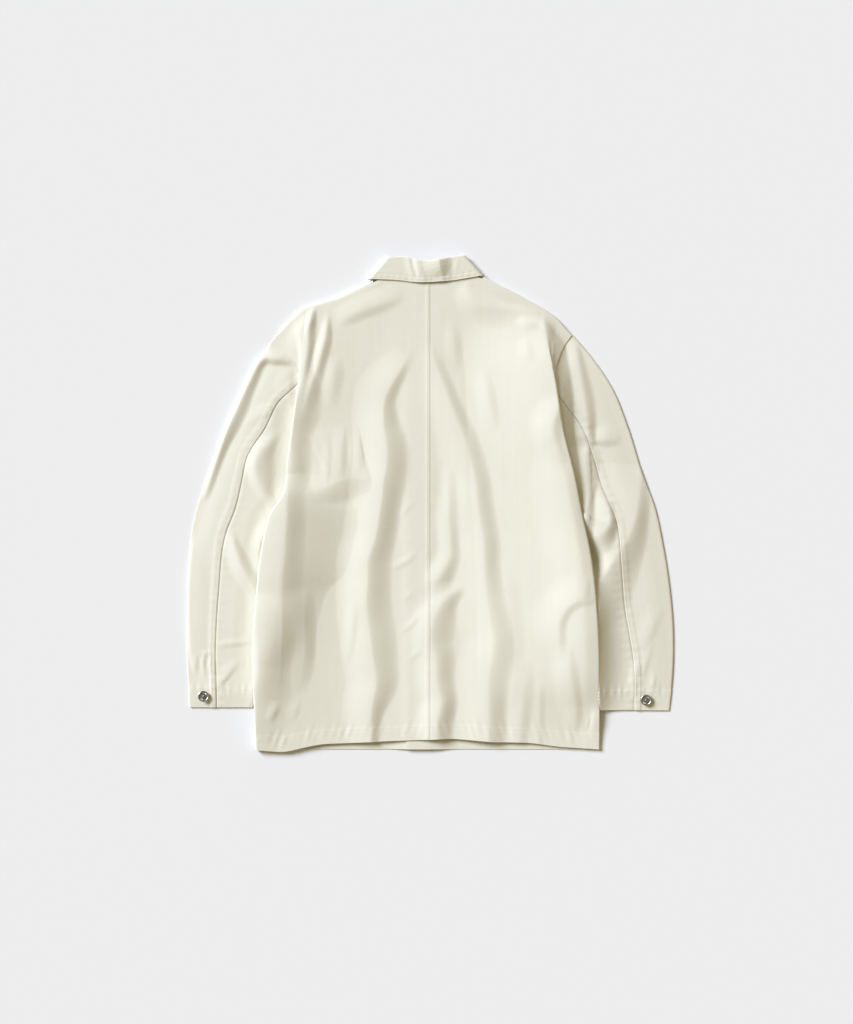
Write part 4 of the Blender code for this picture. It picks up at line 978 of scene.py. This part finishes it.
def whole_collar_place(along, turn):
    """Point of the collar; along runs from -3 at the wearer's left leaf to 3 at the right one."""
    left, right = (collar_place(side, np.abs(along), turn) for side in SIDES)
    return np.where((along < 0)[..., None], left, right)


def collar_relief(along, turn, point):
    """Topstitched edge of the collar's fall, with its small puckers."""
    up_from_edge = np.clip(3 - turn, 0, 1) * FALL_DEPTH
    puckers = 0.22 * uneven(point[..., 0], 5.0, 31) * ridge(up_from_edge - 6, 5.0)
    sewn = sum(-0.3 * ridge(up_from_edge - row, 0.9) for row in COLLAR_ROWS)
    return (puckers + sewn) * (turn > 2) * (np.abs(along) < 1)


# ---- materials --------------------------------------------------------------------------------------
SHEEN = (1.0, 0.98, 0.92, 1.0)
SEED_FLECK = (0.52, 0.44, 0.28, 1.0)         # bits of cotton seed in the undyed yarn
STEEL_GRIME = (0.05, 0.048, 0.042, 1.0)
OBJECT = 3                                   # Texture Coordinate's Object output


class Socket:
    """A number in a material's node tree; Python's operators add its Math nodes."""

    def __init__(self, paint, link):
        self.paint = paint
        self.link = link

    def maths(self, operation, first, second=0.0):
        return self.paint.node("ShaderNodeMath", {"operation": operation}, first, second)

    def __add__(self, other):
        return self.maths("ADD", self, other)

    def __radd__(self, other):
        return self.maths("ADD", other, self)

    def __sub__(self, other):
        return self.maths("SUBTRACT", self, other)

    def __rsub__(self, other):
        return self.maths("SUBTRACT", other, self)

    def __mul__(self, other):
        return self.maths("MULTIPLY", self, other)

    def __rmul__(self, other):
        return self.maths("MULTIPLY", other, self)

    def __truediv__(self, other):
        return self.maths("DIVIDE", self, other)

    def __rtruediv__(self, other):
        return self.maths("DIVIDE", other, self)

    def sine(self):
        return self.maths("SINE", self)

    def clamp(self):
        return self.paint.node("ShaderNodeClamp", {}, self, 0.0, 1.0)


class Paint:
    """One material, or the world, and the nodes behind its shader."""

    def __init__(self, made, numbers, shader="Principled BSDF"):
        self.made = made
        made.use_nodes = True
        self.tree = made.node_tree
        self.shader = self.tree.nodes[shader]
        for socket, value in numbers.items():
            self.shader.inputs[socket].default_value = value

    def node(self, kind, settings, *inputs, out=0, **named):
        """Adds a node: its settings first, then values or links for its sockets by order or by name."""
        made = self.tree.nodes.new(kind)
        for name, value in settings.items():
            setattr(made, name, value)
        sockets = [*enumerate(inputs), *((name.replace("_", " "), value) for name, value in named.items())]
        for key, value in sockets:
            if isinstance(value, Socket):
                self.tree.links.new(value.link, made.inputs[key])
            elif value is not None:
                made.inputs[key].default_value = value
        return Socket(self, made.outputs[out])

    def mix(self, share, first, second):
        """A colour between two colours or links."""
        made = self.tree.nodes.new("ShaderNodeMix")
        made.data_type = "RGBA"
        for key, value in ((0, share), (6, first), (7, second)):
            if isinstance(value, Socket):
                self.tree.links.new(value.link, made.inputs[key])
            else:
                made.inputs[key].default_value = value
        return Socket(self, made.outputs[2])

    def feed(self, **sockets):
        for name, value in sockets.items():
            self.tree.links.new(value.link, self.shader.inputs[name.replace("_", " ")])
        return self.made


def tint(colour, share):
    """A colour scaled by a share, with full alpha."""
    return (*(channel * share for channel in colour), 1.0)


def noise(paint, place, scale, detail, roughness=None):
    """Soft random values over a place, in cells of a scale."""
    return paint.node("ShaderNodeTexNoise", {}, place, None, scale, detail, roughness)


def twill_material(name):
    """Undyed cotton twill: fine diagonal lines, uneven yarns and soft clouds of tone."""
    cloth = bpy.context.scene.jacket_cloth
    paint = Paint(bpy.data.materials.new(name), {"Sheen Weight": 0.12, "Sheen Roughness": 0.45,
                                                 "Sheen Tint": SHEEN, "Specular IOR Level": 0.18})
    uv = paint.node("ShaderNodeUVMap", {"uv_map": "grain"})
    across = paint.node("ShaderNodeSeparateXYZ", {}, uv)
    along = Socket(paint, across.link.node.outputs[1])

    def yarns(across_scale, along_scale, detail):
        stretch = paint.node("ShaderNodeMapping", {}, uv, Scale=(across_scale, along_scale, 1.0))
        return noise(paint, stretch, 1.0, detail)

    warp = yarns(900.0, 60.0, 2.0)
    weft = yarns(45.0, 800.0, 2.0)
    streak = yarns(130.0, 6.0, 3.0)
    fleck = ((yarns(420.0, 110.0, 1.0) - 0.72) * 9.0).clamp()
    cloud = noise(paint, uv, 14.0, 3.0, 0.55)
    diagonal = (across + along * 1.35 + (warp - 0.5) * 0.00035) * (2 * np.pi / cloth.twill)
    lines = diagonal.sine() * 0.5 + 0.5
    tone = ((cloud - 0.5) * 0.55 + (streak - 0.5) * 0.5 + (warp + weft - 1.0) * 0.28
            + (lines - 0.5) * 0.16 + 0.5).clamp()
    ground = paint.mix(tone, tint(cloth.colour, 0.94), tint(cloth.colour, 1.05))
    flecked = paint.mix(fleck * 0.35, ground, SEED_FLECK)
    rough = (0.94 - (lines - 0.5) * 0.06 - (cloud - 0.5) * 0.08).clamp()
    height = lines * 0.55 + warp * 0.3 + weft * 0.25
    bump = paint.node("ShaderNodeBump", {}, Strength=0.55, Distance=cloth.relief, Height=height)
    return paint.feed(Base_Color=flecked, Roughness=rough, Normal=bump)


def thread_material(name):
    """Cotton thread: twisted plies seen as fine slanted lines along each stitch."""
    stitch = bpy.context.scene.jacket_stitches
    paint = Paint(bpy.data.materials.new(name), {"Sheen Weight": 0.2, "Specular IOR Level": 0.3})
    spot = paint.node("ShaderNodeTexCoord", {}, out=OBJECT)
    fuzz = noise(paint, spot, 900.0, 2.0)
    wave = paint.node("ShaderNodeTexWave", {"bands_direction": "DIAGONAL"}, spot, 1400.0, 1.5, out=1)
    colour = paint.mix(fuzz, tint(stitch.colour, 0.86), tint(stitch.colour, 1.12))
    bump = paint.node("ShaderNodeBump", {}, Strength=0.5, Distance=0.08 * MM, Height=wave)
    return paint.feed(Base_Color=colour, Roughness=fuzz * 0.2 + 0.6, Normal=bump)


def steel_material(name):
    """Aged steel of the buttons: darker in its hollows, with fine scratches."""
    button = bpy.context.scene.jacket_buttons
    paint = Paint(bpy.data.materials.new(name), {"Metallic": 1.0})
    spot = paint.node("ShaderNodeTexCoord", {}, out=OBJECT)
    grain = noise(paint, spot, 1500.0, 3.0)
    stain = noise(paint, spot, 320.0, 2.0)
    pits = paint.node("ShaderNodeTexVoronoi", {}, spot, None, 1100.0)
    hollow = paint.node("ShaderNodeAttribute", {"attribute_name": "hollow"}, out=2)
    worn = paint.mix(stain, tint(button.colour, 0.72), tint(button.colour, 1.3))
    colour = paint.mix(hollow * 0.75, worn, STEEL_GRIME)
    rough = (grain * 0.25 + hollow * 0.3 + 0.18).clamp()
    bump = paint.node("ShaderNodeBump", {}, Strength=0.35, Distance=0.06 * MM, Height=pits + grain * 0.5)
    return paint.feed(Base_Color=colour, Roughness=rough, Normal=bump)


def floor_material(name):
    """Matt paper sweep with the faintest tooth."""
    studio = bpy.context.scene.jacket_studio
    paint = Paint(bpy.data.materials.new(name), {"Roughness": 0.95, "Specular IOR Level": 0.1})
    tooth = noise(paint, paint.node("ShaderNodeTexCoord", {}, out=OBJECT), 900.0, 2.0)
    colour = paint.mix(tooth, tint(studio.floor, 0.998), tint(studio.floor, 1.002))
    bump = paint.node("ShaderNodeBump", {}, Strength=0.05, Distance=0.05 * MM, Height=tooth)
    return paint.feed(Base_Color=colour, Normal=bump)


MATERIALS = {"ecru_cotton_twill": twill_material, "ecru_thread": thread_material,
             "aged_steel": steel_material, "studio_paper": floor_material}


def shared(name):
    """One of the materials, made the first time it is asked for."""
    return bpy.data.materials.get(name) or MATERIALS[name](name)


# ---- making meshes ----------------------------------------------------------------------------------
def finish_mesh(name, shape, material, sharp=50):
    """Turns a bmesh into a smooth object at the origin and puts it in the scene."""
    mesh = bpy.data.meshes.new(name)
    shape.to_mesh(mesh)
    shape.free()
    mesh.shade_smooth()
    mesh.set_sharp_from_angle(angle=np.radians(sharp))
    mesh.materials.append(shared(material))
    piece = bpy.data.objects.new(name, mesh)
    bpy.context.scene.collection.objects.link(piece)
    return piece


def unit(steps):
    """Directions of length 1."""
    return steps / np.maximum(np.linalg.norm(steps, axis=-1, keepdims=True), 1e-12)


def new_verts(made):
    """The vertices among what a bmesh operator made."""
    return [v for v in made["geom"] if isinstance(v, bmesh.types.BMVert)]


def cloth_sheet(name, place, columns, rows, outer, relief, keep=None):
    """A wall of twill through a grid of stations, with its grain in a UV map, in metres.

    outer, 1 or -1, says on which side of the grid the cloth's right side is; relief raises that side.
    """
    half = half_wall()
    across, up = np.meshgrid(columns, rows)
    middle = place(across, up)
    normal = unit(outer * np.cross(np.gradient(middle, axis=1), np.gradient(middle, axis=0)))
    raised = half + relief(across, up, middle)
    upper = (middle + normal * raised[..., None]) * MM
    lower = (middle - normal * half) * MM
    up_steps, across_steps = (np.linalg.norm(np.diff(middle, axis=axis), axis=-1) for axis in (0, 1))
    grain_up = np.pad(np.cumsum(up_steps, axis=0), ((1, 0), (0, 0))) * MM
    grain_across = np.pad(np.cumsum(across_steps, axis=1), ((0, 0), (1, 0))) * MM

    sheet = bmesh.new()
    bmesh.ops.create_grid(sheet, x_segments=len(columns) - 1, y_segments=len(rows) - 1, size=1.0)
    grid = (np.array([v.co[:2] for v in sheet.verts]) + 1) / 2 * (len(columns) - 1, len(rows) - 1)
    column, row = np.rint(grid).astype(int).T
    upper, lower = upper[row, column].tolist(), lower[row, column].tolist()
    grain = pair(grain_across[row, column], grain_up[row, column])
    spot = sheet.verts.layers.int.new("spot")
    for i, v in enumerate(sheet.verts):
        v.co = lower[i]
        v[spot] = i
    if keep is not None:
        at = {v: (columns[column[v[spot]]], rows[row[v[spot]]]) for v in sheet.verts}
        gone = [f for f in sheet.faces if not keep(*np.mean([at[v] for v in f.verts], axis=0))]
        bmesh.ops.delete(sheet, geom=gone, context="FACES")
    for v in new_verts(bmesh.ops.extrude_face_region(sheet, geom=sheet.faces[:])):
        v.co = upper[v[spot]]
    bmesh.ops.recalc_face_normals(sheet, faces=sheet.faces[:])
    if sheet.calc_volume(signed=True) < 0:
        bmesh.ops.reverse_faces(sheet, faces=sheet.faces[:])
    piece = finish_mesh(name, sheet, "ecru_cotton_twill")
    mesh = piece.data
    spots = np.zeros(len(mesh.vertices), dtype=np.int32)
    mesh.attributes["spot"].data.foreach_get("value", spots)
    corners = np.zeros(len(mesh.loops), dtype=np.int32)
    mesh.loops.foreach_get("vertex_index", corners)
    mesh.uv_layers.new(name="grain").data.foreach_set("uv", grain[spots[corners]].ravel())
    mesh.attributes.remove(mesh.attributes["spot"])
    return piece


def lay(piece, node):
    """Hangs a cloth piece under the root and hides the part it stands for."""
    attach(piece, "root")
    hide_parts(node)


# ---- stitches ---------------------------------------------------------------------------------------
def run_of_stitches(place, relief, outer, across, up, lift=0.1):
    """Middles, directions and normals of stitches along a line of stations, in metres."""
    stitch = bpy.context.scene.jacket_stitches
    across, up = np.broadcast_arrays(across, up)
    at, knots = np.linspace(0, 1, 400), np.linspace(0, 1, len(across))
    across, up = np.interp(at, knots, across), np.interp(at, knots, up)
    track = place(across, up) * MM
    gone = np.concatenate(([0.0], np.cumsum(np.linalg.norm(np.diff(track, axis=0), axis=1))))
    spots = np.arange((stitch.length + stitch.gap) / 2, gone[-1], stitch.length + stitch.gap)

    def along_track(spots):
        return np.stack([np.interp(spots, gone, line) for line in track.T], axis=-1)

    middle = along_track(spots)
    ahead = along_track(spots + stitch.length / 2) - along_track(spots - stitch.length / 2)
    a, b = np.interp(spots, gone, across), np.interp(spots, gone, up)
    tiny = 1e-3
    beside = place(a + tiny, b) - place(a - tiny, b)
    along = place(a, b + tiny) - place(a, b - tiny)
    normal = unit(outer * np.cross(beside, along))
    raised = half_wall() + relief(a, b, middle / MM) + lift
    return middle + normal * raised[:, None] * MM, ahead, normal


def stitching(name, runs):
    """One mesh of small thread ovals along several runs."""
    stitch = bpy.context.scene.jacket_stitches
    middle, ahead, normal = (np.concatenate(parts)[:, None] for parts in zip(*runs))
    forward = unit(ahead)
    beside = unit(np.cross(forward, normal))
    upward = np.cross(beside, forward)
    seam = bmesh.new()
    spot, turn = (seam.verts.layers.int.new(word) for word in ("spot", "turn"))
    bmesh.ops.create_uvsphere(seam, u_segments=6, v_segments=4, radius=1.0)
    oval = np.array([v.co for v in seam.verts])
    for i, v in enumerate(seam.verts):
        v[spot] = i
    sewn = 1
    while sewn < len(middle):
        for v in new_verts(bmesh.ops.duplicate(seam, geom=seam.verts[:] + seam.edges[:] + seam.faces[:])):
            v[turn] += sewn
        sewn *= 2
    bmesh.ops.delete(seam, geom=[v for v in seam.verts if v[turn] >= len(middle)], context="VERTS")
    places = (middle + oval[:, :1] * beside * stitch.thread / 2 + oval[:, 1:2] * forward * stitch.length / 2
              + oval[:, 2:] * upward * stitch.thread / 2.2)
    for v in seam.verts:
        v.co = places[v[turn], v[spot]]
    for word in ("turn", "spot"):
        seam.verts.layers.int.remove(seam.verts.layers.int[word])
    piece = finish_mesh(name, seam, "ecru_thread", sharp=80)
    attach(piece, "root")


# ---- buttons ----------------------------------------------------------------------------------------
# half of the button's section from the middle of its face to its back: share of its radius, height in mm
BUTTON_PROFILE = ((0.0, 2.05), (0.07, 2.03), (0.14, 1.95), (0.2, 1.82), (0.24, 1.66), (0.3, 1.6),
                  (0.36, 1.62), (0.4, 1.78), (0.44, 1.8), (0.47, 1.66), (0.52, 1.6), (0.6, 1.62),
                  (0.68, 1.66), (0.74, 1.74), (0.78, 2.0), (0.83, 2.3), (0.89, 2.4), (0.95, 2.28), (0.99, 1.95),
                  (1.0, 1.5), (0.96, 1.0), (0.88, 0.7), (0.36, 0.4), (0.34, 0.0), (0.0, 0.0))
BUTTON_STEPS = 112
RIB_BAND = (0.5, 0.72)   # the milled ring, as shares of the radius
RIB_HEIGHT = 0.28
BOSS = 0.22              # the small boss in the middle, as a share of the radius
PETALS = 6
PETAL_HEIGHT = 0.14
FACE = 1.5               # height above which a point is on the button's face
HOLLOW = 1.75            # height below which the metal is dark
FRONT_BUTTONS = 5


def jacket_button(name, node, facing, tilt):
    """A turned metal button with a rolled rim, a milled ring and a small boss, where its node is."""
    settings = bpy.context.scene.jacket_buttons
    x, y, z = (np.array(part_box(node)[0]) + np.array(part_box(node)[1])) / 2
    radius = settings.width / 2
    disc = bmesh.new()
    ring = [disc.verts.new((r * radius, 0, z * MM)) for r, z in BUTTON_PROFILE]
    edges = [disc.edges.new(ends) for ends in zip(ring[:-1], ring[1:])]
    bmesh.ops.spin(disc, geom=ring + edges, cent=(0, 0, 0), axis=(0, 0, 1), angle=2 * np.pi,
                   steps=BUTTON_STEPS, use_merge=True)
    bmesh.ops.remove_doubles(disc, verts=disc.verts[:], dist=1e-7)
    hollow = disc.verts.layers.float.new("hollow")
    for v in disc.verts:
        share = v.co.xy.length / radius
        turn = np.arctan2(v.co.y, v.co.x)
        on_face = v.co.z > FACE * MM
        if on_face and RIB_BAND[0] <= share <= RIB_BAND[1]:
            rib = np.cos(turn * settings.ribs)
            v.co.z += RIB_HEIGHT * MM * rib
            v[hollow] = 0.5 - 0.5 * rib
        elif on_face and share < BOSS:
            petal = np.cos(turn * PETALS)
            v.co.z += PETAL_HEIGHT * MM * petal * min(share / 0.12, 1)
            v[hollow] = 0.4 - 0.4 * petal
        elif v.co.z < HOLLOW * MM:
            v[hollow] = 1.0
    bmesh.ops.recalc_face_normals(disc, faces=disc.faces[:])
    turn = Matrix.Rotation(0 if facing > 0 else np.pi, 4, "X") @ Matrix.Rotation(np.radians(tilt), 4, "Y")
    move = Matrix.Translation((x, y, z - facing * BUTTON_CAP / 2 * MM))
    bmesh.ops.transform(disc, matrix=move @ turn, verts=disc.verts[:])
    piece = finish_mesh(name, disc, "aged_steel", sharp=35)
    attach(piece, "root")
    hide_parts(node)


# ---- operators --------------------------------------------------------------------------------------
class JacketBack(bpy.types.Operator):
    """Lay the two back panels, with their drape, side folds, hem and puckers"""

    bl_idname = "jacket.back"
    bl_label = "Back Panels"

    def execute(self, context):
        def clear_of_neck(across, up):
            return up < 1 or across > NECK_SHARE

        columns = spaced((0, NECK_SHARE, 68), (NECK_SHARE, 1, 84), (1, 2, 12), (2, 3, 5))
        rows = spaced((0, 0.034, 13), (0.034, 1, 240), (1, 2, 8), (2, 3, 2))
        for side in SIDES:
            piece = cloth_sheet(f"back_{side.word}_panel", partial(back_place, side), columns, rows,
                                side.sign, partial(back_relief, side), keep=clear_of_neck)
            lay(piece, f"back_{side.word}")
        return {"FINISHED"}


class JacketFronts(bpy.types.Operator):
    """Lay the two fronts, the wearer's right lapped over the left"""

    bl_idname = "jacket.fronts"
    bl_label = "Fronts"

    def execute(self, context):
        columns, rows = spaced((0, 1, 30), (1, 2, 62)), spaced((0, 0.06, 14), (0.06, 1, 110))
        for side in SIDES:
            piece = cloth_sheet(f"front_{side.word}_panel", partial(front_place, side), columns, rows,
                                side.sign, partial(front_relief, side))
            lay(piece, f"front_{side.word}")
        return {"FINISHED"}


class JacketSleeves(bpy.types.Operator):
    """Lay both two-piece sleeves, with their felled hindarm seam and turned cuff hem"""

    bl_idname = "jacket.sleeves"
    bl_label = "Sleeves"

    def execute(self, context):
        top_columns = spaced((0, 0.86, 26), (0.86, 1, 6), (1, 1.1, 6), (1.1, 2, 24))
        under_columns = spaced((0, 0.93, 56), (0.93, 1, 6), (1, 1.3, 6), (1.3, 2, 4))
        rows = spaced((0, 0.9, 150), (0.9, 1, 22))
        for side in SIDES:
            top = cloth_sheet(f"{side.word}_top_sleeve_cloth", partial(top_sleeve_place, side), top_columns,
                              rows, -side.sign, partial(top_sleeve_relief, side))
            lay(top, f"{side.word}_top_sleeve")
            under = cloth_sheet(f"{side.word}_under_sleeve_cloth", partial(under_sleeve_place, side),
                                under_columns, rows, side.sign, partial(under_sleeve_relief, side))
            lay(under, f"{side.word}_under_sleeve")
        return {"FINISHED"}


class JacketCollar(bpy.types.Operator):
    """Roll the collar over its stand, with its two leaves under the fronts"""

    bl_idname = "jacket.collar"
    bl_label = "Collar"

    def execute(self, context):
        half = spaced((0, 1, 70), (1, 2, 14), (2, 3, 16))
        columns, rows = np.concatenate((-half[:0:-1], half)), spaced((0, 1, 6), (1, 2, 8), (2, 3, 34))
        piece = cloth_sheet("collar_cloth", whole_collar_place, columns, rows, -1, collar_relief)
        lay(piece, "collar")
        return {"FINISHED"}


class JacketStitching(bpy.types.Operator):
    """Sew the rows of stitches that show on the back, hem, sleeves and collar"""

    bl_idname = "jacket.stitching"
    bl_label = "Stitching"

    def execute(self, context):
        back = {side: (partial(back_place, side), partial(back_relief, side), side.sign) for side in SIDES}
        hem = np.linspace(0.003, 0.99, 40)
        centre = np.linspace(0.001, 0.985, 60)
        runs = [run_of_stitches(*back[side], hem, (BACK_HEM - 2) / BACK_LENGTH) for side in SIDES]
        runs += [run_of_stitches(*back[LEFT], inset, centre, 0.04) for inset in CENTRE_ROWS]
        stitching("back_stitching", runs)

        down = np.linspace(0.07, 0.99, 50)
        top_cuff, under_cuff = np.linspace(0.05, 0.97, 20), np.linspace(0.03, 0.85, 20)
        for side in SIDES:
            top = partial(top_sleeve_place, side), partial(top_sleeve_relief, side), -side.sign
            under = partial(under_sleeve_place, side), partial(under_sleeve_relief, side), side.sign
            seam = side.hindarm.at("girth", np.array(0.94))
            top_girth, under_girth = seam * (1 - top_cuff), seam + (1 - seam) * under_cuff
            runs = [run_of_stitches(*top, near + spread * down, down) for near, spread in FELL_ROWS]
            runs.append(run_of_stitches(*top, top_cuff, cuff_share(side, top_girth, CUFF_HEM - 2)))
            runs.append(run_of_stitches(*under, under_cuff, cuff_share(side, under_girth, CUFF_HEM - 2)))
            stitching(f"{side.word}_sleeve_stitching", runs)

        along = np.linspace(-0.98, 0.98, 60)
        stitching("collar_stitching", [run_of_stitches(whole_collar_place, collar_relief, -1, along,
                                                       3 - row / FALL_DEPTH, 0.05) for row in COLLAR_ROWS])
        return {"FINISHED"}


class JacketButtons(bpy.types.Operator):
    """Sew on the two cuff buttons and the five buttons of the closed front"""

    bl_idname = "jacket.buttons"
    bl_label = "Buttons"

    def execute(self, context):
        for word, tilt in (("left", 8), ("right", 0)):
            jacket_button(f"{word}_cuff_metal_button", f"cuff_button_{word}", 1, tilt)
        for i in range(FRONT_BUTTONS):
            jacket_button(f"front_metal_button_{i + 1}", f"front_button_{i + 1}", -1, 0)
        return {"FINISHED"}


class JacketStage(bpy.types.Operator):
    """Set the pale floor, the soft light and the camera above the jacket"""

    bl_idname = "jacket.stage"
    bl_label = "Studio Stage"

    def execute(self, context):
        studio = context.scene.jacket_studio
        sweep = bmesh.new()
        bmesh.ops.create_grid(sweep, x_segments=8, y_segments=8, size=FLOOR_HALF)
        finish_mesh("studio_floor", sweep, "studio_paper")
        sun = bpy.data.lights.new("key_light", "SUN")
        sun.energy = studio.key
        sun.color = studio.key_colour
        sun.angle = studio.spread
        key = bpy.data.objects.new("key_light", sun)
        flat = np.cos(studio.elevation)
        towards = Vector((flat * np.cos(studio.heading), flat * np.sin(studio.heading),
                          np.sin(studio.elevation)))
        key.rotation_euler = towards.to_track_quat("Z", "Y").to_euler()
        key.location = towards * 3
        context.scene.collection.objects.link(key)
        room = Paint(bpy.data.worlds.new("studio_fill"), {"Strength": studio.fill}, "Background")
        height = room.node("ShaderNodeSeparateXYZ", {}, room.node("ShaderNodeTexCoord", {}), out=2)
        overhead = ((height - 0.12) / 0.2).clamp()
        context.scene.world = room.feed(Color=room.mix(overhead, tint(studio.backdrop, 1 / studio.fill),
                                                       tint(studio.fill_colour, 1.0)))
        lens = bpy.data.cameras.new("overhead_camera")
        lens.sensor_width = 36.0
        lens.lens = lens.sensor_width * studio.camera_height / studio.view_length
        lens.clip_end = 50
        camera = bpy.data.objects.new("overhead_camera", lens)
        camera.location = (*CAMERA_PLACE, studio.camera_height)
        context.scene.collection.objects.link(camera)
        context.scene.camera = camera
        context.scene.view_settings.view_transform = "Standard"
        return {"FINISHED"}


class JacketPanel(bpy.types.Panel):
    """Lists the jacket's pieces and their settings"""

    bl_idname = "VIEW3D_PT_jacket"
    bl_label = "Chore Jacket"
    bl_space_type = "VIEW_3D"
    bl_region_type = "UI"
    bl_category = "Jacket"

    def draw(self, context):
        for name, group in SETTINGS.items():
            box = self.layout.box()
            for field in group.__annotations__:
                box.prop(getattr(context.scene, name), field)
        for operator in OPERATORS:
            self.layout.operator(operator.bl_idname)


OPERATORS = (JacketFronts, JacketSleeves, JacketBack, JacketCollar, JacketStitching, JacketButtons,
             JacketStage)
CLASSES = (*SETTINGS.values(), *OPERATORS, JacketPanel)


def register():
    for cls in CLASSES:
        bpy.utils.register_class(cls)
    for name, group in SETTINGS.items():
        setattr(bpy.types.Scene, name, PointerProperty(type=group))


def unregister():
    for name in SETTINGS:
        delattr(bpy.types.Scene, name)
    for cls in reversed(CLASSES):
        bpy.utils.unregister_class(cls)


def main():
    register()
    bpy.ops.jacket.fronts()
    bpy.ops.jacket.sleeves()
    bpy.ops.jacket.back()
    bpy.ops.jacket.collar()
    bpy.ops.jacket.stitching()
    bpy.ops.jacket.buttons()
    bpy.ops.jacket.stage()
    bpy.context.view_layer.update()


if __name__ == "__main__":
    main()
